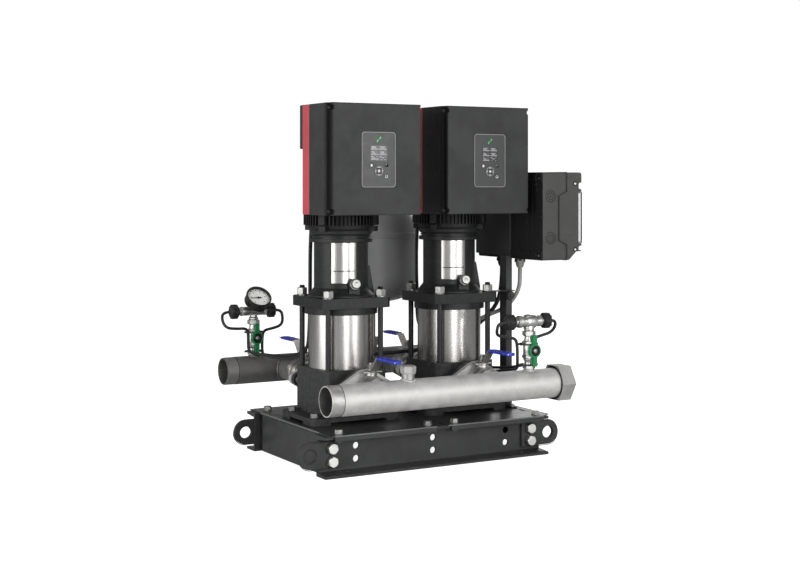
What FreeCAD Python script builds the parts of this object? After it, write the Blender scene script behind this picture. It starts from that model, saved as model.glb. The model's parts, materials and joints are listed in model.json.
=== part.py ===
"""Booster pump set: two vertical multistage pumps between two manifolds on a steel base."""
import os
from math import cos, pi, radians, sin

import FreeCAD
import Part

V = FreeCAD.Vector
X_AXIS, Y_AXIS, Z_AXIS = V(1, 0, 0), V(0, 1, 0), V(0, 0, 1)

# Driving sizes in millimetres. X runs along the manifolds, Y away from the viewer, Z up.
pump_pitch = 328.0
rail_length = 652.0
rail_span = 466.0
rail_height = 100.0
rail_flange = 50.0
rail_web = 6.0
flange_root = 10.5
flange_tip = 6.5
web_hole_r = 8.5
web_hole_pitch = 220.0
web_hole_rise = 16.0
floor_hole_x = 256.0
floor_hole_r = 7.0
plate_t = 3.0
plate_gap = 4.0         # from a rail's edge to the plate's folded lip
plate_shift = 12.0
plate_width = 324.0
plate_lip = 14.0
plate_bolt_x = 125.0
plate_bolt_inset = 25.0
plate_bolt_r = 6.0
plate_corner_x = 32.0
plate_corner_y = 27.0
lug_reach = 381.0
lug_height = 65.0
lug_t = 8.0
lug_hole_r = 16.5
lug_bolt_x = 291.0
foot_x = 256.0
foot_y = 199.0
foot_t = 18.0
foot_bolt_x = 107.5
foot_bolt_y = 65.0
block_half = 88.0
block_cut = 10.0
block_height = 133.0
port_height = 89.0
port_face = 128.0
port_r = 25.0
flange_t = 15.0
flange_bolt_x = 66.0
sleeve_r = 85.0
sleeve_t = 2.5
stages = 4
stage_height = 34.5
chamber_r = 68.0
collar_r = 94.0
collar_height = 17.5
head_half = 96.5
head_cut = 11.0
head_t = 26.0
staybolt_at = 75.0
staybolt_r = 7.0
stool_height = 154.5
stool_r = 70.0
stool_ring_r = 80.5
stool_neck_r = 74.0
stool_wall = 10.0
rib_turn = -20.0
motor_lug_turn = 34.5
window_turn = 250.0
window_half = 30.0
window_rise = 36.0
bowl_height = 33.0
frame_r = 88.0
fin_r = 97.0
fin_count = 60
fin_half = 1.8
frame_height = 201.0
fan_cover_r = 106.0
fan_cover_height = 104.0
shaft_r = 9.0
motor_shaft_r = 14.0
drive_width = 260.0
drive_shift = 3.0
drive_front = 191.0
drive_side = 150.0
drive_back = 73.0
trim_back = 35.0
drive_height = 276.5
drive_lift = 24.0
panel_width = 96.0
panel_height = 137.5
panel_shift = 6.0
pipe_r = 38.05
pipe_wall = 3.6
thread_length = 45.0
thread_r = 36.85        # pitch radius of the pipe thread
front_gap = 100.0      # ball valve to manifold axis, front
rear_gap = 138.0       # ball valve to manifold axis, rear
manifold_left = 342.0
manifold_right = 336.0
cap_af = 88.0
cap_length = 40.0
branch_r = 30.0
valve_lead = 22.0
valve_tail = 35.0
check_length = 57.0
valve_bore = 19.0
ball_r = 28.0
lever_length = 135.0
grip_start_front = 34.0
grip_start_rear = 60.0
lever_rise = 85.0
rear_tap_x = -251.0
front_tap_x = 241.0
stub_x = -117.0
stub_rise = 56.0
tank_x = 120.0
tank_r = 135.0
tank_bottom = 171.0
tank_wall = 2.0
gauge_r = 34.5
post_x = 300.0
post_y = -75.0
post_depth = 32.0
post_width = 18.0
box_bottom = 402.0
box_height = 232.0
box_y0 = -218.0
box_y1 = 90.0
box_depth = 126.0
cable_r = 5.5
sensor_cable_r = 2.5
plug_length = 29.0
arm_t = 2.5             # steady arm, and the washers under the staybolt nuts
running_fit = 0.05

# Heights and places that follow from the driving sizes.
base_top = rail_height + plate_t
plate_span = rail_span + 2 * (plate_gap + plate_t)
plate_bolt_y = rail_span / 2 - plate_bolt_inset
foot_top = base_top + foot_t
block_top = base_top + block_height
port_z = base_top + port_height
sleeve_top = block_top + stages * stage_height
head_bottom = sleeve_top + collar_height
head_top = head_bottom + head_t
stool_top = head_top + stool_height
bowl_top = stool_top + bowl_height
frame_top = bowl_top + frame_height
drive_bottom = bowl_top + drive_lift
drive_top = drive_bottom + drive_height
pumps = (-pump_pitch / 2, pump_pitch / 2)
valve_at_front = port_face + flange_t + valve_lead
valve_at_rear = port_face + flange_t + check_length + valve_lead
front_y = valve_at_front + front_gap
rear_y = valve_at_rear + rear_gap


def box(x0, x1, y0, y1, z0, z1):
    return Part.makeBox(x1 - x0, y1 - y0, z1 - z0, V(x0, y0, z0))


def rod(r, length, start, axis=Z_AXIS):
    return Part.makeCylinder(r, length, start, axis)


def pipe(outer, inner, length, start, axis=Z_AXIS):
    return rod(outer, length, start, axis).cut(rod(inner, length, start, axis))


def prism(points, move):
    wire = Part.makePolygon(list(points) + [points[0]])
    return Part.Face(wire).extrude(move)


def hexagon(af, length, start, axis=Z_AXIS):
    """Six-sided bar with flats across `af`, from `start` along `axis`."""
    r = af / 2 / cos(pi / 6)
    side = Z_AXIS if abs(axis.z) < 0.5 else X_AXIS
    side = (side - axis * side.dot(axis)).normalize()
    third = axis.cross(side)
    points = []
    for k in range(6):
        a = k * pi / 3 + pi / 6
        points.append(start + side * (r * sin(a)) + third * (r * cos(a)))
    return prism(points, axis * length)


def joined(shapes):
    first, rest = shapes[0], list(shapes[1:])
    return first.multiFuse(rest).removeSplitter() if rest else first


def without(shape, cutters):
    return shape.cut(Part.makeCompound(list(cutters)))


def group(shapes):
    solids = []
    for shape in shapes:
        solids.extend(shape.Solids)
    return solids[0] if len(solids) == 1 else Part.makeCompound(solids)


def revolved(points, centre=V(0, 0, 0)):
    """Solid of revolution about Z from (radius, height) points."""
    profile = [V(r, 0, z) for r, z in points]
    face = Part.Face(Part.makePolygon(profile + [profile[0]]))
    solid = face.revolve(V(0, 0, 0), Z_AXIS, 360)
    solid.translate(centre)
    return solid


def at_pumps(build):
    """Two copies of a piece that is built about the pump axis."""
    return group([build().translated(V(x, 0, 0)) for x in pumps])


def bent_tube(points, r):
    """Round cable along straight runs that are joined by tangent arcs."""
    edges, last = [], points[0]
    for before, corner, after in zip(points, points[1:], points[2:]):
        back, ahead = (before - corner), (after - corner)
        reach = 0.45 * min(back.Length, ahead.Length)
        back.normalize()
        ahead.normalize()
        start, end = corner + back * reach, corner + ahead * reach
        middle = back + ahead
        if middle.Length < 0.02:
            continue
        half = back.getAngle(ahead) / 2
        radius = reach * sin(half) / cos(half)
        middle.normalize()
        top = corner + middle * (radius / sin(half) - radius)
        edges.append(Part.makeLine(last, start))
        edges.append(Part.Arc(start, top, end).toShape())
        last = end
    edges.append(Part.makeLine(last, points[-1]))
    spine = Part.Wire(edges)
    first = points[1] - points[0]
    ring = Part.Wire([Part.makeCircle(r, points[0], first)])
    return spine.makePipeShell([ring], True, True)


def chamfered_square(half, cut, z0, z1):
    points = []
    for sx, sy, order in ((1, -1, 0), (1, 1, 1), (-1, 1, 0), (-1, -1, 1)):
        a = V(sx * (half - cut), sy * half, z0)
        b = V(sx * half, sy * (half - cut), z0)
        points += [a, b] if order == 0 else [b, a]
    return prism(points, V(0, 0, z1 - z0))


def mirrored_y(shape):
    return shape.mirror(V(0, 0, 0), Y_AXIS)


def save(name, shape):
    shape.exportStep("parts/" + name + ".step")


os.makedirs("parts", exist_ok=True)
fasteners = []


def bolt(af, head, shank_r, length, start, axis, nut_at=None):
    """Hexagon bolt with its washer under the head; `start` is the clamped face."""
    out = axis * -1
    parts = [rod(af * 0.58, 1.8, start, out), hexagon(af, head, start + out * 1.8, out),
             rod(shank_r, length + 1.8, start + out * 1.8, axis)]
    shape = joined(parts)
    fasteners.append(shape)
    if nut_at is not None:
        place = start + axis * nut_at
        nut = hexagon(af, head, place, axis).cut(rod(shank_r, head, place, axis))
        fasteners.append(nut)


# Base rails: two channels with their open sides outward.
def rail():
    outer, inner = rail_span / 2, rail_span / 2 - rail_flange
    web = inner + rail_web
    profile = [(inner, 0), (outer, 0), (outer, flange_tip), (web, flange_root),
               (web, rail_height - flange_root), (outer, rail_height - flange_tip),
               (outer, rail_height), (inner, rail_height)]
    x0 = -rail_length / 2
    shape = prism([V(x0, y, z) for y, z in profile], V(rail_length, 0, 0))
    holes = []
    for x in (-web_hole_pitch, 0, web_hole_pitch, -lug_bolt_x, lug_bolt_x):
        for dz in (-web_hole_rise, web_hole_rise):
            holes.append(rod(web_hole_r, rail_web + 2, V(x, inner - 1, rail_height / 2 + dz), Y_AXIS))
    for x in (-floor_hole_x, floor_hole_x):
        holes.append(rod(floor_hole_r, 20, V(x, outer - 19, -4)))
    for x in pumps:
        for dx in (-plate_bolt_x, plate_bolt_x):
            holes.append(rod(plate_bolt_r + 0.5, 20,
                             V(x + plate_shift + dx, plate_bolt_y, rail_height - 16)))
    return without(shape, holes)


save("base_rails", group([rail(), mirrored_y(rail())]))


# Folded top plates, one under each pump, with a lip front and rear and a skirt at the outer end.
def top_plate(side):
    centre = side * pump_pitch / 2 + plate_shift
    x0, x1 = centre - plate_width / 2, centre + plate_width / 2
    half = plate_span / 2
    z0 = rail_height
    inner = rail_span / 2 - rail_flange
    parts = [box(x0, x1, -half, half, z0, base_top)]
    for s in (-1, 1):
        y0, y1 = sorted((s * half, s * (half - plate_t)))
        lip_end = x1 - 29 if side < 0 else x1 - plate_corner_x
        parts.append(box(x0 + 11, lip_end, y0, y1, base_top - plate_lip, base_top))
    end = x0 if side < 0 else x1 - plate_t
    parts.append(box(end, end + plate_t, -inner + 23, inner - 23, 4, base_top))
    shape = joined(parts)
    holes = []
    for dx in (-plate_bolt_x, plate_bolt_x):
        for y in (-plate_bolt_y, plate_bolt_y):
            holes.append(rod(plate_bolt_r + 0.5, 10, V(centre + dx, y, z0 - 3)))
    for dx in (-foot_bolt_x, foot_bolt_x):
        for y in (-foot_bolt_y, foot_bolt_y):
            holes.append(rod(6.5, 10, V(side * pump_pitch / 2 + dx, y, z0 - 3)))
    if side > 0:
        for s in (-1, 1):
            corner = [V(x1 - plate_corner_x, s * half, z0 - 1), V(x1 + 1, s * half, z0 - 1),
                      V(x1 + 1, s * (half - plate_corner_y), z0 - 1)]
            holes.append(prism(corner, V(0, 0, plate_t + 2)))
        for y in (-150, -112):
            holes.append(box(x1 - 34, x1 - 26, y, y + 26, z0 - 1, base_top + 1))
        for y in post_bolts():
            holes.append(rod(4.5, 10, V(post_x + post_width / 2, y, z0 - 3)))
    return without(shape, holes)


def post_bolts():
    return (post_y - 14, post_y + post_depth + 14)


save("top_plates", group([top_plate(-1), top_plate(1)]))


# Lifting lugs on the outer faces of the webs.
def lug(side):
    face = rail_span / 2 - rail_flange + rail_web
    r = lug_height / 2
    z = rail_height / 2 + 2
    eye = lug_reach - r
    inner_end = lug_bolt_x - 25
    plate = joined([box(inner_end, eye, face, face + lug_t, z - r, z + r),
                    rod(r, lug_t, V(eye, face, z), Y_AXIS)])
    holes = [rod(lug_hole_r, lug_t + 2, V(eye, face - 1, z), Y_AXIS)]
    for dz in (-web_hole_rise, web_hole_rise):
        holes.append(rod(web_hole_r, lug_t + 2, V(lug_bolt_x, face - 1, rail_height / 2 + dz), Y_AXIS))
    shape = without(plate, holes)
    return shape if side > 0 else shape.mirror(V(0, 0, 0), X_AXIS)


lugs = [lug(-1), lug(1)]
save("lifting_lugs", group(lugs + [mirrored_y(one) for one in lugs]))

web_face = rail_span / 2 - rail_flange
for sx in (-1, 1):
    for sy in (-1, 1):
        for dz in (-web_hole_rise, web_hole_rise):
            bolt(24, 10, 8, 30, V(sx * lug_bolt_x, sy * (web_face + rail_web + lug_t),
                                 rail_height / 2 + dz), Y_AXIS * -sy, rail_web + lug_t)
for pump_x in pumps:
    for sx in (-1, 1):
        for sy in (-1, 1):
            bolt(19, 8, 5.5, foot_t + plate_t + 14,
                 V(pump_x + sx * foot_bolt_x, sy * foot_bolt_y, foot_top), V(0, 0, -1),
                 foot_t + plate_t)
            slope = (flange_root - flange_tip) / (rail_flange - rail_web)
            under = flange_tip + (rail_span / 2 - plate_bolt_y + 10.4) * slope
            bolt(18, 8, plate_bolt_r, plate_t + 18,
                 V(pump_x + plate_shift + sx * plate_bolt_x, sy * plate_bolt_y, base_top),
                 V(0, 0, -1), plate_t + under)


# Pump base with its feet, the two in-line ports and the water ways.
def oval_flange(y, t):
    """Two-bolt flange in the XZ plane from y to y + t, with its centre on the port axis."""
    lobe = 16.0
    r = port_r * 2
    body = rod(r, t, V(0, y, port_z), Y_AXIS)
    ends = [rod(lobe, t, V(s * flange_bolt_x, y, port_z), Y_AXIS) for s in (-1, 1)]
    sine = (r - lobe) / flange_bolt_x
    cosine = (1 - sine * sine) ** 0.5
    points = []
    for sx, sz in ((1, 1), (1, -1), (-1, -1), (-1, 1)):
        near = V(sx * r * sine, y, port_z + sz * r * cosine)
        far = V(sx * (flange_bolt_x + lobe * sine), y, port_z + sz * lobe * cosine)
        points += [near, far] if sx * sz > 0 else [far, near]
    web = prism(points, V(0, t, 0))
    shape = joined([body, web] + ends)
    holes = [rod(6.6, t + 2, V(s * flange_bolt_x, y - 1, port_z), Y_AXIS) for s in (-1, 1)]
    holes.append(rod(port_r, t + 2, V(0, y - 1, port_z), Y_AXIS))
    return without(shape, holes)


def pump_base():
    foot = box(-foot_x / 2, foot_x / 2, -foot_y / 2, foot_y / 2, base_top, foot_top)
    upright = [e for e in foot.Edges if abs(e.Vertexes[0].Z - e.Vertexes[1].Z) > 1]
    foot = foot.makeFillet(25, upright)
    foot = without(foot, [box(-foot_x, foot_x, -40, 40, base_top - 1, base_top + 7),
                          box(-80, 80, -foot_y, foot_y, base_top - 1, base_top + 7)])
    body = chamfered_square(block_half, block_cut, base_top + 7, block_top)
    parts = [foot, body]
    for s in (-1, 1):
        start = V(0, s * (block_half - 1), port_z)
        parts.append(rod(port_r * 1.68, port_face - flange_t - block_half + 2, start, Y_AXIS * s))
    parts += [oval_flange(port_face - flange_t, flange_t),
              mirrored_y(oval_flange(port_face - flange_t, flange_t))]
    shape = joined(parts)
    holes = [rod(45, block_top - port_z + 42, V(0, 0, port_z - 42)),
             pipe(80, 71, block_top - port_z + 42, V(0, 0, port_z - 42))]
    shape = without(shape, holes)
    wall = rod(port_r + 5, 40, V(0, -83, port_z), Y_AXIS)
    shape = joined([shape, wall])
    cutters = [rod(port_r, port_face + 1, V(0, -port_face - 1, port_z), Y_AXIS),
               rod(port_r, port_face - 73, V(0, 74, port_z), Y_AXIS)]
    for sx in (-1, 1):
        for sy in (-1, 1):
            cutters.append(rod(staybolt_r + 0.3, 30, V(sx * staybolt_at, sy * staybolt_at, block_top - 15)))
            cutters.append(rod(6.5, 40, V(sx * foot_bolt_x, sy * foot_bolt_y, base_top - 5)))
    shape = without(shape, cutters)
    pedestal = pipe(16, shaft_r + running_fit, 14, V(0, 0, port_z - 42))
    return joined([shape, pedestal])


save("pump_bases", at_pumps(pump_base))
for pump_x in pumps:
    for sy in (-1, 1):
        for sx in (-1, 1):
            bolt(19, 8, 6, 2 * flange_t + 13,
                 V(pump_x + sx * flange_bolt_x, sy * (port_face + flange_t), port_z),
                 Y_AXIS * -sy, 2 * flange_t)

save("outer_sleeves", at_pumps(lambda: pipe(sleeve_r, sleeve_r - sleeve_t, sleeve_top - block_top,
                                            V(0, 0, block_top))))


# Stacked stage chambers inside the sleeve.
def chambers():
    stack = []
    for k in range(stages):
        z = block_top + k * stage_height
        cup = pipe(chamber_r, chamber_r - 2, stage_height, V(0, 0, z))
        floor = pipe(chamber_r - 1, 21.5, 2.5, V(0, 0, z))
        vanes = [box(60, chamber_r - 1, -1, 1, z + 2, z + stage_height).rotate(V(0, 0, 0), Z_AXIS, a)
                 for a in range(0, 360, 60)]
        stack.append(joined([cup, floor] + vanes))
    return group(stack)


save("pump_chambers", at_pumps(chambers))


# Pump head: collar, square flange, seal bore, water slots and the boss for the vent plug.
vent_face = V(-5.0, -95.0, head_top + 36.5)
vent_dir = V(cos(radians(262)) * cos(radians(12)), sin(radians(262)) * cos(radians(12)), sin(radians(12)))


def vent_boss(gap):
    """Round boss with the pillar under it, larger all round by `gap`."""
    nose = vent_face - vent_dir * 14
    boss = rod(15 + gap, 24 + 2 * gap, nose + vent_dir * gap, vent_dir * -1)
    middle = vent_face - vent_dir * 25
    half = 14 + gap
    pillar = box(-half, half, -9.5 - gap, 9.5 + gap, head_top - 2, middle.z)
    pillar = pillar.rotate(V(0, 0, 0), Z_AXIS, 262 + 90).translated(V(middle.x, middle.y, 0))
    return [boss, pillar]


def pump_head():
    shape = joined([rod(collar_r, collar_height + 1, V(0, 0, sleeve_top)),
                    chamfered_square(head_half, head_cut, head_bottom, head_top)] + vent_boss(0))
    cutters = [rod(60, 21, V(0, 0, sleeve_top)), rod(shaft_r + running_fit, 60, V(0, 0, sleeve_top)),
               rod(8, 18, vent_face - vent_dir * 32, vent_dir)]
    for k in range(6):
        cutters.append(box(55, 80, -6, 6, sleeve_top, sleeve_top + 12).rotate(V(0, 0, 0), Z_AXIS, 60 * k))
    for sx in (-1, 1):
        for sy in (-1, 1):
            cutters.append(rod(staybolt_r + 0.4, 90, V(sx * staybolt_at, sy * staybolt_at, sleeve_top - 10)))
    return without(shape, cutters)


save("pump_heads", at_pumps(pump_head))


def vent_plug():
    seat = vent_face - vent_dir * 14
    return joined([rod(8, 15, seat - vent_dir * 14, vent_dir), rod(13, 2.5, seat, vent_dir),
                   hexagon(21, 12, seat + vent_dir * 2, vent_dir)])


save("vent_plugs", at_pumps(vent_plug))


# Staybolts from base to head; the steady arm of the post takes the place of one washer.
def staybolt_set(x):
    parts = []
    for sx in (-1, 1):
        for sy in (-1, 1):
            foot = V(x + sx * staybolt_at, sy * staybolt_at, block_top - 15)
            top = V(foot.x, foot.y, head_top)
            under_arm = x > 0 and sx > 0 and sy < 0
            nut = [hexagon(24, 17, top + V(0, 0, arm_t))]
            washer = [] if under_arm else [rod(14, arm_t, top)]
            parts.append(rod(staybolt_r, head_top + 23 - foot.z, foot))
            parts.append(joined(nut + washer).cut(rod(staybolt_r, 30, top)))
    return group(parts)


save("staybolts", group([staybolt_set(x) for x in pumps]))


# Motor stool with two windows, each behind a guard sheet.
def wedge(r, half, z0, z1, turn):
    a = radians(half)
    far = r / cos(a)
    points = [V(0, 0, z0), V(far * cos(a), -far * sin(a), z0), V(far * cos(a), far * sin(a), z0)]
    return prism(points, V(0, 0, z1 - z0)).rotate(V(0, 0, 0), Z_AXIS, turn)


def motor_stool():
    ring = stool_top - 14.5
    wall_r = stool_r - stool_wall
    shape = revolved([(wall_r, head_top), (stool_r + 16, head_top), (stool_r + 15, head_top + 4),
                      (stool_r, head_top + 23), (stool_r, ring), (stool_ring_r, ring),
                      (stool_ring_r, ring + 9.5), (stool_neck_r, ring + 9.5), (stool_neck_r, stool_top),
                      (wall_r - 11, stool_top), (wall_r - 11, stool_top - 6),
                      (wall_r, stool_top - 16)])
    rib = prism([V(wall_r + 2, -5, head_top), V(stool_r + 15, -5, head_top),
                 V(stool_r + 15, -5, head_top + 14), V(stool_r + 4, -5, head_top + 78),
                 V(wall_r + 2, -5, head_top + 78)], V(0, 10, 0))
    shape = joined([shape, rib.rotate(V(0, 0, 0), Z_AXIS, rib_turn)])
    cutters = [wedge(140, window_half, head_top + window_rise, ring - 1, window_turn),
               wedge(140, window_half, head_top + window_rise, ring - 1, window_turn - 180),
               rod(16, 24, vent_face - vent_dir * 14, vent_dir)] + vent_boss(0.5)
    for sx in (-1, 1):
        for sy in (-1, 1):
            cutters.append(rod(16, 40, V(sx * staybolt_at, sy * staybolt_at, head_top - 1)))
    return without(shape, cutters)


save("motor_stools", at_pumps(motor_stool))


def guard():
    z0, z1 = head_top + window_rise, stool_top - 15.5
    sheets = []
    for turn in (window_turn, window_turn - 180):
        sheet = pipe(stool_r - 4, stool_r - 5, z1 - z0, V(0, 0, z0))
        sheet = sheet.common(wedge(140, window_half, z0, z1, turn))
        sheets.append(without(sheet, vent_boss(1.0)))
    return group(sheets)


save("coupling_guards", at_pumps(guard))


# Pump shaft with impellers and the two-part coupling; the motor rotor follows above it.
shaft_foot = port_z - 41.5
shaft_head = stool_top - 70


def pump_shaft(x):
    parts = [rod(shaft_r, shaft_head - shaft_foot, V(x, 0, shaft_foot))]
    for k in range(stages):
        z = block_top + k * stage_height
        hub = pipe(14, shaft_r, 20, V(x, 0, z + 8))
        eye = pipe(21, 17, 9, V(x, 0, z + 1))
        lower = pipe(56, 17, 2, V(x, 0, z + 9))
        upper = pipe(56, shaft_r, 2, V(x, 0, z + 20))
        vanes = []
        for a in range(0, 360, 60):
            vane = box(16, 55, -1.2, 1.2, z + 10, z + 21).rotate(V(0, 0, 0), Z_AXIS, a)
            vanes.append(vane.translated(V(x, 0, 0)))
        parts.append(joined([hub, eye, lower, upper] + vanes))
    z0, z1 = shaft_head - 45, shaft_head + 45
    sleeve = without(rod(30, z1 - z0, V(x, 0, z0)),
                     [rod(shaft_r, 45, V(x, 0, z0)), rod(motor_shaft_r, 45, V(x, 0, shaft_head)),
                      box(x - 0.6, x + 0.6, -40, 40, z0 - 1, z1 + 1)])
    parts.append(sleeve)
    return group(parts)


def motor_rotor(x):
    top = frame_top + 60
    shaft = rod(motor_shaft_r, top - shaft_head, V(x, 0, shaft_head))
    core_z = bowl_top + 35
    core = pipe(49.5, motor_shaft_r, 120, V(x, 0, core_z))
    fan_z = frame_top + 22
    fan = [pipe(24, motor_shaft_r, 30, V(x, 0, fan_z)), pipe(84, 23, 3, V(x, 0, fan_z))]
    for a in range(0, 360, 45):
        blade = box(22, 84, -1.2, 1.2, fan_z + 2, fan_z + 28).rotate(V(0, 0, 0), Z_AXIS, a)
        fan.append(blade.translated(V(x, 0, 0)))
    return group([shaft, core, joined(fan)])


for name, pump_x in zip(("left", "right"), pumps):
    save("pump_shaft_" + name, pump_shaft(pump_x))
    save("motor_rotor_" + name, motor_rotor(pump_x))


# Motor frame: bowl-shaped flange, finned barrel, end shield and the seat of the drive box.
seat_back = drive_back + 45.0


def finned_ring(z0, z1):
    """Round bar with upright cooling fins, drawn as one outline."""
    points = []
    for k in range(fin_count):
        middle = 2 * pi * (k + 0.5) / fin_count
        corners = (frame_r, -fin_half), (fin_r, -fin_half), (fin_r, fin_half), (frame_r, fin_half)
        for r, half_width in corners:
            a = middle + half_width / r
            points.append(V(r * cos(a), r * sin(a), z0))
    return prism(points, V(0, 0, z1 - z0))


def motor_frame():
    inner = frame_r - 6
    bowl = revolved([(motor_shaft_r + running_fit, stool_top), (stool_neck_r, stool_top),
                     (stool_neck_r, stool_top + 3), (frame_r - 7, stool_top + 13),
                     (frame_r - 3, stool_top + 20), (frame_r - 2, bowl_top - 4), (inner, bowl_top - 4),
                     (inner - 8, stool_top + 14), (motor_shaft_r + running_fit, stool_top + 14)])
    barrel = finned_ring(bowl_top - 4, frame_top - 9).cut(rod(inner, 400, V(0, 0, bowl_top - 50)))
    shield = pipe(fan_cover_r - 2, motor_shaft_r + running_fit, 9, V(0, 0, frame_top - 9))
    parts = [bowl, barrel, shield]
    for k in range(4):
        lug_pair = [box(stool_ring_r - 1, fin_r + 5, -9, 9, stool_top + 14, bowl_top - 6),
                    box(frame_r - 3, fin_r + 8, -9, 9, bowl_top - 2, bowl_top + 22)]
        parts += [one.rotate(V(0, 0, 0), Z_AXIS, motor_lug_turn + 90 * k) for one in lug_pair]
    seat = box(-50, 50, -seat_back, 0, drive_bottom + 21, frame_top - 18)
    seat = seat.cut(rod(inner + 2, 400, V(0, 0, bowl_top - 50)))
    parts.append(seat)
    parts.append(rod(12, 26, V(20, frame_r - 4, bowl_top + 50), Y_AXIS))
    parts.append(rod(8, 26, V(-22, frame_r - 4, bowl_top + 50), Y_AXIS))
    shape = joined(parts)
    return without(shape, [rod(cable_r, 40, V(20, frame_r - 2, bowl_top + 50), Y_AXIS),
                           rod(6.5, 40, V(-22, frame_r - 2, bowl_top + 50), Y_AXIS)])


save("motor_frames", at_pumps(motor_frame))


def stator():
    core_z = bowl_top + 35
    core = pipe(frame_r - 6, 50, 120, V(0, 0, core_z))
    ends = [pipe(74, 54, 140, V(0, 0, core_z - 10))]
    return joined([core] + ends)


save("motor_stators", at_pumps(stator))


def fan_cover():
    z0 = frame_top - 9
    z1 = z0 + fan_cover_height + 7
    shape = joined([pipe(fan_cover_r, fan_cover_r - 2, z1 - z0, V(0, 0, z0)),
                    rod(fan_cover_r, 2, V(0, 0, z1 - 2))])
    slots = []
    for r in (30, 46, 62, 78):
        ring = pipe(r + 5, r, 4, V(0, 0, z1 - 3))
        slots.append(ring.cut(Part.makeCompound([box(-100, 100, -4, 4, z1 - 4, z1 + 2),
                                                 box(-4, 4, -100, 100, z1 - 4, z1 + 2)])))
    return without(shape, slots)


save("fan_covers", at_pumps(fan_cover))


# Drive box on the front of each motor.
drive_left = drive_shift - drive_width / 2
drive_right = drive_shift + drive_width / 2
front_left, front_right = drive_left + 5.5, drive_right - 5.5
panel_z = drive_bottom + 137.5
screw_u = (drive_left + 5, drive_right - 5)
screw_w = (drive_bottom + 10, drive_top - 12)
around_motor = fan_cover_r + 0.5


def drive_housing():
    shell = box(drive_left, drive_right, -drive_side, -drive_back, drive_bottom, drive_top)
    upright = [e for e in shell.Edges if abs(e.Vertexes[0].Z - e.Vertexes[1].Z) > 1
               and e.Vertexes[0].Y < -drive_back - 1]
    shell = shell.makeFillet(2, upright)
    cavity = box(drive_left + 5, drive_right - 5, -drive_side - 1, -drive_side + 22,
                 drive_bottom + 6, drive_top - 6)
    seat = box(-50.05, 50.05, -seat_back, -drive_back + 1, drive_bottom + 20.95, frame_top - 17.95)
    shape = without(shell, [rod(around_motor, drive_height + 2, V(0, 0, drive_bottom - 1)), cavity, seat])
    posts = []
    for u in screw_u:
        for w in screw_w:
            post = box(min(u - 5, u + 5), max(u - 5, u + 5), -drive_side, -drive_side + 23, w - 6, w + 6)
            posts.append(post.common(shell))
    shape = joined([shape] + posts)
    holes = [rod(2, 30, V(u, -drive_side - 4, w), Y_AXIS) for u in screw_u for w in screw_w]
    return without(shape, holes)


save("drive_housings", at_pumps(drive_housing))


def drive_cover():
    step = drive_front - 20
    back = box(drive_left, drive_right, -step, -drive_side, drive_bottom, drive_top)
    front = box(front_left, front_right, -drive_front, -step + 1, drive_bottom, drive_top)
    rim = [e for e in front.Edges if abs(e.CenterOfMass.y + drive_front) < 0.01]
    front = front.makeFillet(3, rim)
    shape = joined([back, front])
    u0 = panel_shift - panel_width / 2
    w0 = panel_z - panel_height / 2
    pocket = box(u0, u0 + panel_width, -drive_front - 1, -drive_front + 2, w0, w0 + panel_height)
    upright = [e for e in pocket.Edges if abs(e.Vertexes[0].Y - e.Vertexes[1].Y) > 1]
    pocket = pocket.makeFillet(8, upright)
    deep = box(u0 + 4, u0 + panel_width - 4, -drive_front + 1, -drive_front + 5,
               w0 + 4, w0 + panel_height - 4)
    inside = box(drive_left + 14, drive_right - 14, -drive_front + 10, -drive_side + 1,
                 drive_bottom + 20, drive_top - 20)
    cutters = [pocket, deep, inside]
    for u in screw_u:
        for w in screw_w:
            cutters.append(rod(6, 30, V(u, -step, w), V(0, -1, 0)))
            cutters.append(rod(2.4, 40, V(u, -step - 1, w), Y_AXIS))
    return without(shape, cutters)


save("drive_covers", at_pumps(drive_cover))
for pump_x in pumps:
    for u in screw_u:
        for w in screw_w:
            start = V(pump_x + u, -drive_front + 20, w)
            fasteners.append(joined([rod(4.6, 6, start, V(0, -1, 0)), rod(2, 35, start, Y_AXIS)]))


def drive_trim():
    band = box(drive_left, drive_right, -drive_back, -trim_back, drive_bottom + 1, drive_top - 1)
    return band.cut(rod(around_motor, drive_height + 2, V(0, 0, drive_bottom - 1)))


save("drive_trims", at_pumps(drive_trim))

# Keys of the control panel: name, place on the panel, radius, radius of the hole inside.
key_list = (("home", -21.0, -13.5, 3.8, 0.0), ("back", 21.0, -13.5, 3.8, 0.0),
            ("arrows", 0.0, -28.0, 12.0, 6.2), ("ok", 0.0, -28.0, 5.4, 0.0),
            ("power", 21.0, -41.5, 4.4, 0.0))
panel_face = drive_front + 0.5
panel_t = 2.5


def control_panel():
    u0 = panel_shift - panel_width / 2
    w0 = panel_z - panel_height / 2
    shape = box(u0, u0 + panel_width, -panel_face, -panel_face + panel_t, w0, w0 + panel_height)
    upright = [e for e in shape.Edges if abs(e.Vertexes[0].Y - e.Vertexes[1].Y) > 1]
    shape = shape.makeFillet(8, upright)
    cutters = []
    for name, du, dw, r, inner in key_list:
        if name != "ok":
            cutters.append(rod(r + 0.3, 10, V(panel_shift + du, -panel_face - 4, panel_z + dw), Y_AXIS))
    shape = without(shape, cutters)
    screen = box(panel_shift - 24, panel_shift + 24, -panel_face - 0.4, -panel_face + 0.5,
                 panel_z - 0.8, panel_z + 33.2)
    return joined([shape, screen])


save("control_panels", at_pumps(control_panel))
for side, pump_x in zip(("left", "right"), pumps):
    for name, du, dw, r, inner in key_list:
        start = V(pump_x + panel_shift + du, -panel_face - 1.2, panel_z + dw)
        key = joined([rod(r, panel_t + 1.5, start, Y_AXIS),
                      rod(r + (0.8 if name != "ok" else 0.4), 0.6,
                          start + V(0, panel_t + 1.5, 0), Y_AXIS)])
        if name == "ok":
            key = rod(r, panel_t + 2.1, start, Y_AXIS)
        if inner:
            key = key.cut(rod(inner, 20, start - V(0, 5, 0), Y_AXIS))
        save("key_" + name + "_" + side, key)


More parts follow.
